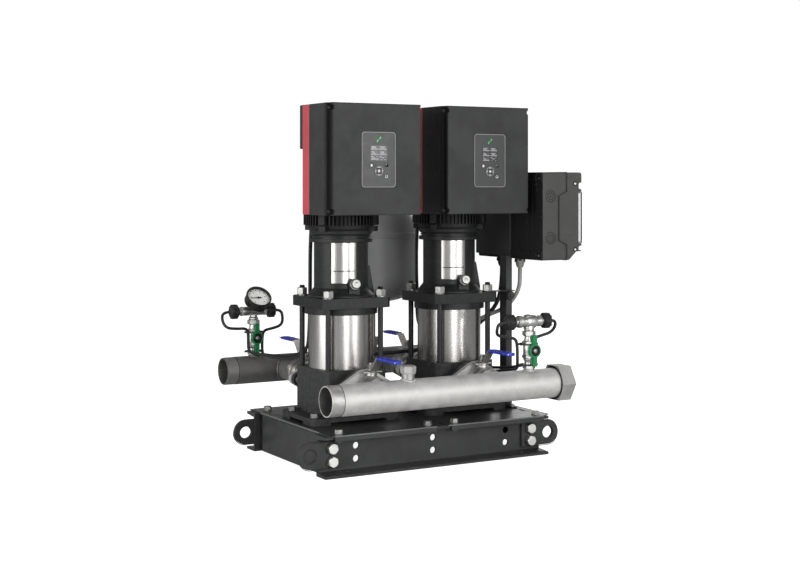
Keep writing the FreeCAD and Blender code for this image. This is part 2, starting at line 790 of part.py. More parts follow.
# Counter flanges on the four ports.
def branch_flange(s):
    shape = oval_flange(port_face, flange_t)
    return shape if s > 0 else mirrored_y(shape)


save("branch_flanges", at_pumps(lambda: group([branch_flange(-1), branch_flange(1)])))


# Ball valves: body, then ball, stem and lever as one moving set.
def valve_body(c):
    start, end = c - valve_lead, c + valve_tail
    parts = [rod(34, end - start, V(0, start, port_z), Y_AXIS),
             rod(39, 36, V(0, c - 18, port_z), Y_AXIS),
             hexagon(70, 15, V(0, end - 15, port_z), Y_AXIS),
             rod(13, 48, V(0, c, port_z)),
             box(-24, 24, c - 9, c + 9, port_z + 46, port_z + 50)]
    shape = joined(parts)
    return without(shape, [Part.makeSphere(ball_r + running_fit, V(0, c, port_z)),
                           rod(valve_bore, 80, V(0, start - 1, port_z), Y_AXIS),
                           rod(7 + running_fit, 60, V(0, c, port_z))])


def valve_lever(c, grip_start):
    ball = Part.makeSphere(ball_r, V(0, c, port_z)).cut(rod(valve_bore, 80, V(0, c - 40, port_z), Y_AXIS))
    stem = rod(7, 74 - ball_r + 4, V(0, c, port_z + ball_r - 4))
    ball_stem = joined([ball, stem]).cut(rod(valve_bore, 80, V(0, c - 40, port_z), Y_AXIS))
    low, high = port_z + 50.3, port_z + lever_rise
    points = [(c - 14, low), (c + 14, low), (c + 41, high - 2), (c + lever_length - 3, high - 2),
              (c + lever_length - 3, high + 2), (c + 39, high + 2), (c + 12, low + 4), (c - 14, low + 4)]
    strap = prism([V(-10, y, z) for y, z in points], V(20, 0, 0))
    strap = strap.cut(rod(7, 20, V(0, c, low - 5)))
    grip = box(-12, 12, c + grip_start, c + lever_length, high - 4, high + 4)
    round_edges = [e for e in grip.Edges if abs(e.Vertexes[0].Y - e.Vertexes[1].Y) > 10]
    grip = grip.makeFillet(3, round_edges)
    grip = grip.cut(strap)
    nut = hexagon(19, 11, V(0, c, low + 4)).cut(rod(7, 20, V(0, c, low)))
    return group([ball_stem, strap, grip, nut])


front_valve, rear_valve = valve_body(valve_at_front), valve_body(valve_at_rear)
save("valve_bodies", at_pumps(lambda: group([mirrored_y(front_valve), rear_valve])))
for side, pump_x in zip(("left", "right"), pumps):
    front_lever = mirrored_y(valve_lever(valve_at_front, grip_start_front))
    front_lever = front_lever.translated(V(pump_x, 0, 0))
    save("valve_lever_front_" + side, front_lever)
    rear_lever = valve_lever(valve_at_rear, grip_start_rear).translated(V(pump_x, 0, 0))
    save("valve_lever_rear_" + side, rear_lever)


# Check valves between the rear port flanges and the rear ball valves.
check_start = port_face + flange_t
check_end = check_start + check_length


def check_valve():
    shape = joined([rod(36, check_end - check_start, V(0, check_start, port_z), Y_AXIS),
                    hexagon(72, 14, V(0, check_start, port_z), Y_AXIS),
                    hexagon(72, 14, V(0, check_end - 14, port_z), Y_AXIS)])
    seat = check_start + 13
    cage = check_start + 33
    bar = 4 + running_fit
    shape = without(shape, [rod(18, 40, V(0, check_start - 1, port_z), Y_AXIS),
                            rod(port_r, 20, V(0, check_start - 13, port_z), Y_AXIS),
                            rod(28, cage - seat, V(0, seat, port_z), Y_AXIS),
                            rod(valve_bore, 40, V(0, cage - 1, port_z), Y_AXIS)])
    bars = [box(-21, 21, cage, cage + 6, port_z - 3, port_z + 3),
            box(-3, 3, cage, cage + 6, port_z - 21, port_z + 21),
            rod(8, 6, V(0, cage, port_z), Y_AXIS)]
    spider = joined(bars).cut(rod(bar, 20, V(0, cage - 5, port_z), Y_AXIS))
    return joined([shape, spider])


save("check_valves", at_pumps(check_valve))
for side, pump_x in zip(("left", "right"), pumps):
    seat = V(pump_x, check_start + 13.05, port_z)
    disc = joined([rod(24, 5, seat, Y_AXIS), rod(4, 27, seat, Y_AXIS)])
    save("check_disc_" + side, disc)


# Manifolds with their branches, sockets and caps.
def manifold(s, y, valve_at, taps):
    outer = [rod(pipe_r, manifold_left + manifold_right, V(-manifold_left, s * y, port_z), X_AXIS)]
    inner = [rod(pipe_r - pipe_wall, manifold_left + manifold_right + 2,
                 V(-manifold_left - 1, s * y, port_z), X_AXIS)]
    for x in pumps:
        start = valve_at + valve_tail
        outer.append(rod(branch_r, y - start, V(x, s * start, port_z), Y_AXIS * s))
        inner.append(rod(branch_r - 6, y - start + 1, V(x, s * (start - 1), port_z), Y_AXIS * s))
    for x, r, bore, rise in taps:
        outer.append(rod(r, rise, V(x, s * y, port_z)))
        inner.append(rod(bore, rise + 1, V(x, s * y, port_z)))
    inner.append(pipe(pipe_r + 2, thread_r, thread_length + 1, V(-manifold_left - 1, s * y, port_z), X_AXIS))
    return without(joined(outer), inner)


tap_rise = 41.0
save("manifold_front", manifold(-1, front_y, valve_at_front,
                                [(front_tap_x, 12, 7, tap_rise), (stub_x, 15.5, 12, stub_rise)]))
save("manifold_rear", manifold(1, rear_y, valve_at_rear,
                               [(rear_tap_x, 12, 7, tap_rise), (tank_x, 18, 13.2, 48)]))


def end_cap(y):
    start = V(manifold_right - 20, y, port_z)
    shape = hexagon(cap_af, cap_length, start, X_AXIS).rotate(start, X_AXIS, 30)
    return shape.cut(rod(pipe_r, 20, start, X_AXIS))


stub_top = V(stub_x, -front_y, port_z + stub_rise)
stub_cap = joined([hexagon(38, 12, stub_top + V(0, 0, -5)), hexagon(36, 18, stub_top + V(0, 0, -3))])
save("manifold_caps", group([end_cap(-front_y), end_cap(rear_y),
                             stub_cap.cut(rod(15.5, 5, stub_top + V(0, 0, -5)))]))


# Diaphragm tank on the rear manifold.
def tank():
    low = port_z + tank_bottom
    side_low, side_high = low + 49, low + 202
    top = low + 318

    def shell(gap):
        def dome(z0, height, steps, sign):
            points = []
            for k in range(steps + 1):
                a = k * pi / 2 / steps
                points.append(V((tank_r - gap) * cos(a), 0, z0 + sign * (height - gap) * sin(a)))
            curve = Part.BSplineCurve()
            curve.interpolate(points)
            return points, curve.toShape()
        up, up_edge = dome(side_high, top - side_high, 8, 1)
        down, down_edge = dome(side_low, side_low - low, 8, -1)
        wire = Part.Wire([up_edge, Part.makeLine(up[0], down[0]), down_edge,
                          Part.makeLine(down[-1], up[-1])])
        return Part.Face(wire).revolve(V(0, 0, 0), Z_AXIS, 360)

    bead = revolved([(tank_r - 1, low + 190), (tank_r + 2.5, low + 192), (tank_r + 2.5, low + 197),
                     (tank_r - 1, low + 199)])
    neck_start = port_z + 36
    neck = rod(13.2, low + 4 - neck_start, V(0, 0, neck_start))
    union = hexagon(40, 22, V(0, 0, port_z + 48))
    shape = joined([shell(0), bead, neck, union])
    shape = shape.cut(shell(tank_wall))
    shape = shape.cut(rod(9, low + 6 - neck_start, V(0, 0, neck_start - 1)))
    return shape.translated(V(tank_x, rear_y, 0))


save("pressure_tank", tank())

# Instrument taps: service valve, tee and sensors.
tap_low = port_z + tap_rise
stack_h = 112.0
tee_z = tap_low + 121.0
handle_z = tap_low + 48.0


def service_valve(x, y):
    z = tap_low
    body = [hexagon(26, 12, V(x, y, z)), rod(10, stack_h, V(x, y, z)),
            hexagon(27, 36, V(x, y, z + 30)), hexagon(26, 14, V(x, y, z + 84)),
            rod(8.5, 20, V(x, y, z + stack_h - 8)),
            rod(12, 84, V(x - 45, y, tee_z), X_AXIS), hexagon(26, 12, V(x - 10, y, tee_z), X_AXIS),
            hexagon(23, 8, V(x - 40, y, tee_z), X_AXIS), hexagon(23, 8, V(x + 26, y, tee_z), X_AXIS),
            rod(8, 20, V(x, y, handle_z), V(0, -1, 0))]
    ball = Part.makeSphere(9 + running_fit, V(x, y, handle_z))
    shape = without(joined(body), [ball, rod(5, 30, V(x, y, z - 1)), rod(5, tee_z - z, V(x, y, z)),
                                   rod(4 + running_fit, 30, V(x, y, handle_z), V(0, -1, 0)),
                                   rod(5, 90, V(x - 46, y, tee_z), X_AXIS)])
    return shape


taps = ((rear_tap_x, rear_y), (front_tap_x, -front_y))
save("service_valves", group([service_valve(x, y) for x, y in taps]))
for name, (tap_x, tap_y) in zip(("rear", "front"), taps):
    centre = V(tap_x, tap_y, handle_z)
    out = V(0, -1, 0)
    hub_start = centre + out * 20.3
    handle = joined([rod(17.5, 9, hub_start, out),
                     box(tap_x - 6.2, tap_x + 6.2, tap_y - 27.3, tap_y - 21.3,
                         handle_z - 40, handle_z + 40)])
    handle = handle.cut(rod(4, 40, centre, out))
    stem = rod(4, 23, centre + out * 8, out)
    ball = Part.makeSphere(9, centre)
    core = joined([ball, stem]).cut(rod(5, 40, centre - V(0, 0, 20)))
    screw = rod(7, 4, centre + out * 29.3, out).cut(rod(4, 4, centre + out * 29.3, out))
    save("service_handle_" + name, group([handle, core, screw]))


def sensor(x, y, s):
    start = V(x + (39 if s > 0 else -45), y, tee_z)
    axis = X_AXIS * s
    return without(joined([rod(20, 18, start + axis * 4, axis), rod(13, 5, start, axis),
                           rod(16, plug_length, start, axis)]),
                   [rod(sensor_cable_r, 8, start + axis * (plug_length - 7), axis)])


save("sensor_plugs", group([sensor(x, y, s) for x, y in taps for s in (-1, 1)]))

# Pressure gauge, tilted up toward the viewer on the rear tee.
tilt = radians(45)
face_n = V(0, -sin(tilt), cos(tilt))
gauge_back = V(rear_tap_x + 4, rear_y - 11, tee_z + 24)
gauge_depth = 26.0


def gauge_case():
    cup = rod(gauge_r, gauge_depth, gauge_back, face_n)
    rim = pipe(gauge_r + 1.5, gauge_r - 3, 5, gauge_back + face_n * (gauge_depth - 5), face_n)
    hollow = rod(gauge_r - 3, gauge_depth, gauge_back + face_n * 18, face_n)
    neck = rod(7, 30, gauge_back - face_n * 25, face_n)
    shape = joined([cup, rim, neck]).cut(hollow)
    tee = rod(12, 84, V(rear_tap_x - 45, rear_y, tee_z), X_AXIS)
    collar = hexagon(26, 12, V(rear_tap_x - 10, rear_y, tee_z), X_AXIS)
    return without(shape, [tee, collar, rod(1.55, 12, gauge_back + face_n * 10, face_n)])


save("gauge_case", gauge_case())
dial_start = gauge_back + face_n * 18
dial = pipe(gauge_r - 3, 1.8, 1, dial_start, face_n)
save("gauge_dial", dial)
needle_axis = gauge_back + face_n * 10.2
needle_start = gauge_back + face_n * 20
across = V(-1, 0, 0)
upward = face_n.cross(across)
needle_tip = [across * 24, across * -8 + upward * 1.2, across * -8 - upward * 1.2]
blade = prism([needle_start + p for p in needle_tip], face_n * 1.0)
needle = joined([rod(1.5, 11.5, needle_axis, face_n), blade, rod(3, 1.4, needle_start, face_n)])
save("gauge_needle", needle)


# Post and bracket that carry the control box.
post_top = base_top + box_bottom + 8
bracket_x = post_x + post_width


def control_post():
    x0, x1, y0, y1 = post_x, post_x + post_width, post_y, post_y + post_depth
    channel = box(x0, x1, y0, y1, base_top, post_top)
    channel = channel.cut(box(x0 + 2.5, x1 - 2.5, y0 + 2.5, y1 + 1, base_top + 4, post_top + 1))
    parts = [channel, box(x0, x1, y0 - 24, y1 + 24, base_top, base_top + 4),
             box(bracket_x - 4, bracket_x, y0 + 4, y1, post_top - 60, post_top),
             box(bracket_x - 4, bracket_x, y0 + 4, box_y1 + 8, post_top, post_top + box_height - 30)]
    shape = joined(parts)
    holes = [rod(4.5, 10, V(x0 + post_width / 2, y, base_top - 3)) for y in post_bolts()]
    return without(shape, holes)


# Strip from a staybolt of the right pump that keeps the post from swaying.
def steady_arm():
    bolt_x, z = pumps[1] + staybolt_at, head_top
    strip = [rod(14, arm_t, V(bolt_x, -staybolt_at, z)),
             box(bolt_x, post_x - 12, -staybolt_at - 14, -staybolt_at + 14, z, z + arm_t),
             box(post_x - 24, bracket_x, post_y - 14, post_y, z, z + arm_t),
             box(post_x, bracket_x, post_y - 3, post_y, z - 24, z + arm_t)]
    strip = joined(strip).cut(rod(staybolt_r, 10, V(bolt_x, -staybolt_at, z - 3)))
    middle = V(post_x + post_width / 2, post_y - 3, z - 12)
    out = Y_AXIS * -1
    knob = joined([rod(11, 8, middle, out), hexagon(12, 13, middle, out)])
    return [strip, knob]


save("control_post", group([control_post()] + steady_arm()))
for y in post_bolts():
    bolt(13, 5, 4, 20, V(post_x + post_width / 2, y, base_top + 4), V(0, 0, -1), 4 + plate_t)


# Control box: base, stepped cover and clear window.
box_x0 = bracket_x
box_x1 = box_x0 + box_depth
box_z0 = base_top + box_bottom
box_z1 = box_z0 + box_height
seam_x = box_x0 + 77
tongue_x = box_x0 + 52
tongue_z0, tongue_z1 = box_z0 + 40, box_z1 - 50
wall = 3.0


def tongue(y0, y1, gap):
    """Side flap of the cover that reaches over the base, with slanted shoulders."""
    points = [(tongue_x - gap, tongue_z0 + 12 - gap), (seam_x + 1, tongue_z0 - gap),
              (seam_x + 1, tongue_z1 + gap), (tongue_x - gap, tongue_z1 - 12 + gap)]
    return prism([V(x, y0, z) for x, z in points], V(0, y1 - y0, 0))


def control_box():
    outer = box(box_x0, seam_x, box_y0, box_y1, box_z0, box_z1)
    edges = [e for e in outer.Edges if abs(e.Vertexes[0].X - e.Vertexes[1].X) > 1]
    outer = outer.makeFillet(6, edges)
    inner = box(box_x0 + wall, seam_x + 1, box_y0 + wall + 2, box_y1 - wall - 2,
                box_z0 + wall + 2, box_z1 - wall - 2)
    cutters = [inner]
    cutters += [tongue(box_y0 - 1, box_y0 + 2, 0), tongue(box_y1 - 2, box_y1 + 1, 0)]
    for y in gland_y:
        cutters.append(rod(cable_r, 12, V(gland_x, y, box_z0 - 2)))
    shape = without(outer, cutters)
    glands = []
    for y in gland_y:
        gland = joined([hexagon(26, 8, V(gland_x, y, box_z0 - 8)), rod(10, 14, V(gland_x, y, box_z0 - 14))])
        glands.append(gland.cut(rod(cable_r, 40, V(gland_x, y, box_z0 - 20))))
    return joined([shape] + glands)


gland_x = box_x0 + 38
gland_y = (-58.0, 30.0)
save("control_box", control_box())
window_y0, window_y1 = box_y0 + 26, box_y1 - 26
window_z0, window_z1 = tongue_z0 + 4, tongue_z1 - 4
hinge_z = window_z1 + 4
hinge_x = box_x1 - 1


def box_cover():
    outer = box(seam_x, box_x1 - 4, box_y0, box_y1, box_z0, box_z1)
    edges = [e for e in outer.Edges if abs(e.Vertexes[0].X - e.Vertexes[1].X) > 1]
    outer = outer.makeFillet(6, edges)
    inner = box(seam_x - 1, box_x1 - 8, box_y0 + 5, box_y1 - 5, box_z0 + 5, box_z1 - 5)
    tongues = [tongue(box_y0, box_y0 + 2, 0), tongue(box_y1 - 2, box_y1, 0)]
    opening = box(box_x1 - 20, box_x1, window_y0 + 10, window_y1 - 10, window_z0 + 8, window_z1 - 10)
    rim = [box(box_x1 - 5, box_x1, box_y0, box_y1, window_z0 - 15, window_z0 - 0.3),
           box(box_x1 - 5, box_x1, box_y0, box_y1, hinge_z + 24, box_z1 - 3),
           box(box_x1 - 5, box_x1, box_y0, window_y0 - 1, hinge_z - 8, hinge_z + 4),
           box(box_x1 - 5, box_x1, window_y1 + 1, box_y1, hinge_z - 8, hinge_z + 4)]
    low_edge = prism([V(box_x1 - 17, box_y0 - 1, box_z0 + 22), V(box_x1 + 1, box_y0 - 1, box_z0 + 22),
                      V(box_x1 + 1, box_y0 - 1, box_z0 - 1), V(box_x1 - 41, box_y0 - 1, box_z0 - 1)],
                     V(0, box_y1 - box_y0 + 2, 0))
    low_wall = prism([V(box_x1 - 17, box_y0 + 2, box_z0 + 22), V(box_x1 - 41, box_y0 + 2, box_z0),
                      V(box_x1 - 41, box_y0 + 2, box_z0 + 5), V(box_x1 - 17, box_y0 + 2, box_z0 + 27)],
                     V(0, box_y1 - box_y0 - 4, 0))
    shape = joined([outer.cut(inner)] + tongues + rim)
    shape = joined([shape.cut(low_edge), low_wall])
    recesses = []
    for y in (box_y0, box_y1):
        for z in (box_z0 + 28, hinge_z + 14):
            recesses.append(rod(8, 12, V(box_x1 - 10, y, z), X_AXIS))
    shape = without(shape, recesses)
    knuckles = []
    for y in (window_y0 - 8.3, window_y1 + 0.3):
        knuckles.append(joined([rod(3, 8, V(hinge_x, y, hinge_z), Y_AXIS),
                                box(box_x1 - 5, hinge_x, y, y + 8, hinge_z - 3, hinge_z + 3)]))
    shape = joined([shape] + knuckles)
    return without(shape, [opening, rod(1.5, 400, V(hinge_x, window_y0 - 9, hinge_z), Y_AXIS)])


save("box_cover", box_cover())


def box_window():
    pane = box(box_x1 - 3.7, box_x1 - 0.7, window_y0, window_y1, window_z0, window_z1 - 1)
    barrel = rod(3, window_y1 - window_y0, V(hinge_x, window_y0, hinge_z), Y_AXIS)
    strap = box(hinge_x - 2.7, hinge_x + 0.3, window_y0, window_y1, window_z1 - 2, hinge_z)
    catch = box(box_x1 - 1, box_x1 + 2, (window_y0 + window_y1) / 2 - 14,
                (window_y0 + window_y1) / 2 + 14, window_z0 + 2, window_z0 + 7)
    pin = rod(1.45, window_y1 - window_y0 + 14, V(hinge_x, window_y0 - 7, hinge_z), Y_AXIS)
    return joined([pane, barrel, strap, catch, pin])


save("box_window", box_window())


def switchgear():
    x0 = box_x0 + wall
    rail_bar = box(x0, x0 + 8, box_y0 + 20, box_y1 - 20, (box_z0 + box_z1) / 2 - 18,
                   (box_z0 + box_z1) / 2 + 18)
    units = []
    mid = (box_z0 + box_z1) / 2
    for k in range(8):
        y = box_y0 + 40 + k * 27
        units.append(joined([box(x0 + 8, x0 + 52, y, y + 25, mid - 42, mid + 42),
                             box(x0 + 50, x0 + 66, y, y + 25, mid - 22, mid + 22),
                             box(x0 + 64, x0 + 74, y + 9, y + 16, mid - 4, mid + 8)]))
    return group([rail_bar] + units)


save("switchgear", switchgear())

# Cables between the control box, the motors and the sensors.
def power_route(x, y, run_y, run_z, drop):
    gx, gz = gland_x, box_z0
    return [V(gx, y, gz), V(gx, y, gz - drop), V(gx - 28, 18, gz - drop - 62),
            V(gx - 75, 84, gz - drop - 135), V(gx - 130, run_y, run_z),
            V(x + 20, run_y, run_z), V(x + 20, run_y, bowl_top + 50), V(x + 20, frame_r, bowl_top + 50)]


lead_x, lead_y = pumps[1] + 20, 142.0
right_lead = [V(gland_x, gland_y[0], box_z0), V(gland_x, gland_y[0], box_z0 - 70),
              V(gland_x - 5, -45, box_z0 - 105), V(gland_x - 22, -20, box_z0 - 140),
              V(gland_x - 60, 30, box_z0 - 165), V(gland_x - 100, 115, port_z + 100),
              V(lead_x + 14, lead_y, port_z + 68), V(lead_x, lead_y, port_z + 68),
              V(lead_x, lead_y, bowl_top + 50), V(lead_x, frame_r, bowl_top + 50)]
power_cables = [bent_tube(right_lead, cable_r),
                bent_tube(power_route(pumps[0], gland_y[1], 171, port_z + 46, 80), cable_r)]
save("power_cables", group(power_cables))


def sensor_route(points):
    return bent_tube([V(*p) for p in points], sensor_cable_r)


tx, ty = rear_tap_x, rear_y - 14
fx, fy = front_tap_x, -front_y + 14
up_z = bowl_top + 50
left_x, right_x = pumps[0] - 22, pumps[1] - 22
beside = pumps[0] - 37
sensor_cables = [
    sensor_route([(tx - 39 - plug_length, rear_y, tee_z), (tx - 94, rear_y, tee_z),
                  (tx - 90, ty, tee_z - 42),
                  (tx - 24, ty, tee_z - 46), (tx - 22, ty, port_z + 47), (tx + 14, ty - 14, port_z + 44),
                  (beside - 8, 232, port_z + 44), (left_x - 8, 158, port_z + 66), (left_x - 3.2, 132, up_z),
                  (left_x - 3.2, frame_r, up_z)]),
    sensor_route([(tx + 33 + plug_length, rear_y, tee_z), (tx + 86, rear_y, tee_z),
                  (tx + 84, ty, tee_z - 42),
                  (tx + 24, ty, tee_z - 54), (tx + 20, ty, port_z + 44), (tx + 24, ty - 8, port_z + 41),
                  (beside, 240, port_z + 54), (left_x, 166, port_z + 74), (left_x + 3.2, 140, up_z),
                  (left_x + 3.2, frame_r, up_z)]),
    sensor_route([(fx - 39 - plug_length, -front_y, tee_z), (fx - 96, -front_y, tee_z),
                  (fx - 92, fy, tee_z - 34),
                  (fx - 30, fy, tee_z - 42), (fx - 26, fy, port_z + 44), (fx + 20, -180, port_z + 40),
                  (fx + 28, -60, port_z + 22), (fx + 30, 50, port_z + 22), (fx + 24, 100, port_z + 34),
                  (right_x + 54, 116, port_z + 60), (right_x - 3, 120, port_z + 120),
                  (right_x - 3.2, 132, up_z), (right_x - 3.2, frame_r, up_z)]),
    sensor_route([(fx + 33 + plug_length, -front_y, tee_z), (fx + 84, -front_y, tee_z),
                  (fx + 82, fy, tee_z - 34),
                  (fx + 24, fy, tee_z - 44), (fx + 24, fy + 6, port_z + 56), (fx + 34, -170, port_z + 50),
                  (fx + 40, -60, port_z + 32), (fx + 40, 80, port_z + 32), (right_x + 44, 132, port_z + 98),
                  (right_x + 3.2, 140, up_z), (right_x + 3.2, frame_r, up_z)]),
]
save("sensor_cables", group(sensor_cables))
save("fasteners", group(fasteners))
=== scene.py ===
# %% [markdown]
# # Dressing a water booster set
# The real object is a steel base that carries two upright pumps between two pipe manifolds.
# The construction is already made and packed, so this lesson only adds the looks around it.
# A fixed frame is loaded first, because every piece made here has to sit where the frame says.

# %% Load the frame
import json
from math import cos, pi, radians, sin, sqrt, tan

import bpy
from mathutils import Matrix, Vector


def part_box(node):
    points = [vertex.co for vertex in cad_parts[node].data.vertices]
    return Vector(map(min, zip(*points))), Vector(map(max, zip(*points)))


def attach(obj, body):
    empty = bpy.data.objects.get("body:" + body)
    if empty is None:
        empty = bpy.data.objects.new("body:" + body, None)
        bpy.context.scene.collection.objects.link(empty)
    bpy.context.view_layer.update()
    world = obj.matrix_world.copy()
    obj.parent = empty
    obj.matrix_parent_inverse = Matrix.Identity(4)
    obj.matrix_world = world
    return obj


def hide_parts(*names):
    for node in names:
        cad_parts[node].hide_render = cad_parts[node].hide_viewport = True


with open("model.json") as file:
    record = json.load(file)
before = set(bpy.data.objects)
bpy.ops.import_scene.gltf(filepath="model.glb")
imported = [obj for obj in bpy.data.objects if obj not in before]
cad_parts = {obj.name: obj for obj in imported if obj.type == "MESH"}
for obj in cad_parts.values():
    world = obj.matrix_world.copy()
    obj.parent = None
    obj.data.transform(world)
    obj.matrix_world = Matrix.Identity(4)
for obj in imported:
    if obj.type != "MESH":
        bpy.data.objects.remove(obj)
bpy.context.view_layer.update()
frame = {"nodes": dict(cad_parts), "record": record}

nodes = frame["nodes"]


# %% [markdown]
# ## Camera
# The photograph was taken level, with the object low in the picture. A level camera keeps upright
# edges parallel, and lens shift brings the object back to the middle, as a view camera does. Tilting
# the camera instead would make the two pumps lean.

# %% Camera
image_width = 800
focal_pixels = 1414.8
horizon_pixel = 183.26
image_middle = 291.0
sensor_width = 36.0
camera_place = Vector((-1.8465, -3.25115, 0.7081))
camera_turn = 29.75

lens = bpy.data.cameras.new("view")
lens.sensor_width = sensor_width
lens.lens = focal_pixels * sensor_width / image_width
lens.shift_y = (horizon_pixel - image_middle) / image_width
camera = bpy.data.objects.new("view", lens)
camera.location = camera_place
camera.rotation_euler = (radians(90), 0, radians(-camera_turn))
bpy.context.scene.collection.objects.link(camera)
bpy.context.scene.camera = camera
print("lens", round(lens.lens, 2), "mm, shift", round(lens.shift_y, 4))


# %% [markdown]
# ## Studio
# Bright metal looks like what stands around it. A plain white room would leave the steel flat, so
# mirror-like rays see a studio of upright pale and dark stripes, brightest near the level of the eye
# and fading upwards, while the camera sees plain white. The floor is white paint with a little light
# of its own, so that it stays white to the eye and still takes a shadow.

# %% World and floor
scene = bpy.context.scene
scene.view_settings.view_transform = "Standard"
world = bpy.data.worlds.new("studio")
scene.world = world
world.use_nodes = True

# Share of a full turn about the set, and how bright the studio is there.
studio_stripes = [(0.00, 1.0), (0.06, 0.25), (0.10, 0.8), (0.145, 1.0), (0.17, 0.18), (0.20, 0.85),
                  (0.255, 1.05), (0.30, 0.35), (0.33, 0.8), (0.40, 0.35), (0.46, 0.95), (0.52, 0.4),
                  (0.62, 0.85), (0.74, 0.25), (0.88, 0.8), (1.00, 1.0)]
fade_start, fade_end = 0.05, 0.65
strength_low, strength_high = 1.1, 0.22
backdrop_strength = 1.05
fill_strength = 0.16
floor_lift = 0.93
floor_half = 14.0


def add_node(tree, kind, inputs=None, **settings):
    """A shader node; `inputs` gives its sockets a plain value or the output of another node."""
    node = tree.nodes.new(kind)
    for key, value in settings.items():
        setattr(node, key, value)
    for key, value in (inputs or {}).items():
        if isinstance(value, bpy.types.NodeSocket):
            tree.links.new(value, node.inputs[key])
        else:
            node.inputs[key].default_value = value
    return node


def ramp(tree, source, stops):
    """A colour ramp fed by `source`; stops are (position, colour)."""
    node = add_node(tree, "ShaderNodeValToRGB", {0: source})
    node.color_ramp.interpolation = "EASE"
    elements = node.color_ramp.elements
    while len(elements) < len(stops):
        elements.new(0.5)
    for element, (position, colour) in zip(elements, stops):
        element.position = position
        element.color = (*colour, 1)
    return node.outputs[0]


def grey(value):
    return (value, value, value)


def seen_directly(tree, path):
    """1 for rays from the camera or through the clear flap, otherwise 0."""
    return add_node(tree, "ShaderNodeMath", {
        0: path.outputs["Is Camera Ray"], 1: path.outputs["Is Transmission Ray"]},
        operation="MAXIMUM").outputs[0]


def studio_world():
    """Stripes for mirror-like rays, a weak fill for soft light, plain white for the eye."""
    tree = world.node_tree
    tree.nodes.clear()
    path = add_node(tree, "ShaderNodeLightPath")
    direction = add_node(tree, "ShaderNodeTexCoord").outputs["Generated"]
    split = add_node(tree, "ShaderNodeSeparateXYZ", {0: direction})
    around = add_node(tree, "ShaderNodeMath", {0: split.outputs["Y"], 1: split.outputs["X"]},
                      operation="ARCTAN2")
    turn = add_node(tree, "ShaderNodeMath", {0: around.outputs[0], 1: 0.5 / pi, 2: 0.5},
                    operation="MULTIPLY_ADD")
    stripes = ramp(tree, turn.outputs[0], [(share, grey(tone)) for share, tone in studio_stripes])
    fade = add_node(tree, "ShaderNodeMapRange", {
        "Value": split.outputs["Z"], "From Min": fade_start, "From Max": fade_end,
        "To Min": strength_low, "To Max": strength_high})
    shine = add_node(tree, "ShaderNodeBackground", {"Color": stripes, "Strength": fade.outputs[0]})
    fill = add_node(tree, "ShaderNodeBackground", {
        "Color": (0.97, 0.98, 1, 1), "Strength": fill_strength})
    plain = add_node(tree, "ShaderNodeBackground", {
        "Color": (1, 1, 1, 1), "Strength": backdrop_strength})
    studio = add_node(tree, "ShaderNodeMixShader", {
        0: path.outputs["Is Glossy Ray"], 1: fill.outputs[0], 2: shine.outputs[0]})
    all_rays = add_node(tree, "ShaderNodeMixShader", {
        0: seen_directly(tree, path), 1: studio.outputs[0], 2: plain.outputs[0]})
    add_node(tree, "ShaderNodeOutputWorld", {0: all_rays.outputs[0]})


def floor_material():
    """White sweep that stays white to the eye and still takes the object's shadow."""
    material = bpy.data.materials.new("floor_paint")
    material.use_nodes = True
    tree = material.node_tree
    tree.nodes.clear()
    path = add_node(tree, "ShaderNodeLightPath")
    matt = add_node(tree, "ShaderNodeBsdfDiffuse", {"Color": (0.72, 0.72, 0.72, 1)})
    lift = add_node(tree, "ShaderNodeEmission", {"Color": (1, 1, 1, 1), "Strength": floor_lift})
    both = add_node(tree, "ShaderNodeAddShader", {0: matt.outputs[0], 1: lift.outputs[0]})
    choose = add_node(tree, "ShaderNodeMixShader", {
        0: seen_directly(tree, path), 1: matt.outputs[0], 2: both.outputs[0]})
    add_node(tree, "ShaderNodeOutputMaterial", {0: choose.outputs[0]})
    return material


studio_world()
floor_mesh = bpy.data.meshes.new("floor")
floor_mesh.from_pydata([(-floor_half, -floor_half, 0), (floor_half, -floor_half, 0),
                        (floor_half, floor_half, 0), (-floor_half, floor_half, 0)], [], [(0, 1, 2, 3)])
floor_mesh.materials.append(floor_material())
ground = bpy.data.objects.new("floor", floor_mesh)
scene.collection.objects.link(ground)
print("studio stripes:", len(studio_stripes))


# %% [markdown]
# ## Lamps
# Five soft lamps give the shape: a large one from the left, two upright strips in front that draw
# long highlights on round metal, one above, and a weak one behind that parts the set from its ground.

# %% Lamps
def lamp(name, place, target, size, power):
    """A soft rectangular lamp that looks at `target`."""
    light = bpy.data.lights.new(name, "AREA")
    light.shape = "RECTANGLE"
    light.size, light.size_y = size
    light.energy = power
    holder = bpy.data.objects.new(name, light)
    holder.location = place
    aim = Vector(target) - Vector(place)
    holder.rotation_euler = aim.to_track_quat("-Z", "Y").to_euler()
    scene.collection.objects.link(holder)


middle = (0, 0, 0.45)
lamp("left_softbox", (-3.2, -0.5, 0.7), (0, 0, 0.25), (2.8, 1.8), 70)
lamp("front_softbox", (-0.7, -3.6, 0.9), middle, (0.9, 2.2), 52)
lamp("front_strip", (1.2, -3.4, 0.9), middle, (0.9, 2.2), 52)
lamp("top_softbox", (0.3, 0.2, 3.4), middle, (2.6, 2.2), 26)
lamp("rear_softbox", (2.6, 2.4, 1.9), middle, (1.4, 1.8), 22)


# %% [markdown]
# ## Finishes
# No surface on the real set has one flat colour. Paint varies a little in gloss, cast iron is lumpy,
# zinc has cloudy crystals. Each finish here starts as one shader, and small helpers then add noise to
# its colour, its gloss and its relief. Positions in the frame drive the noise, so a grain has its real
# size in metres. A bevel node rounds hard edges in the light, as a casting or a bent sheet has them.

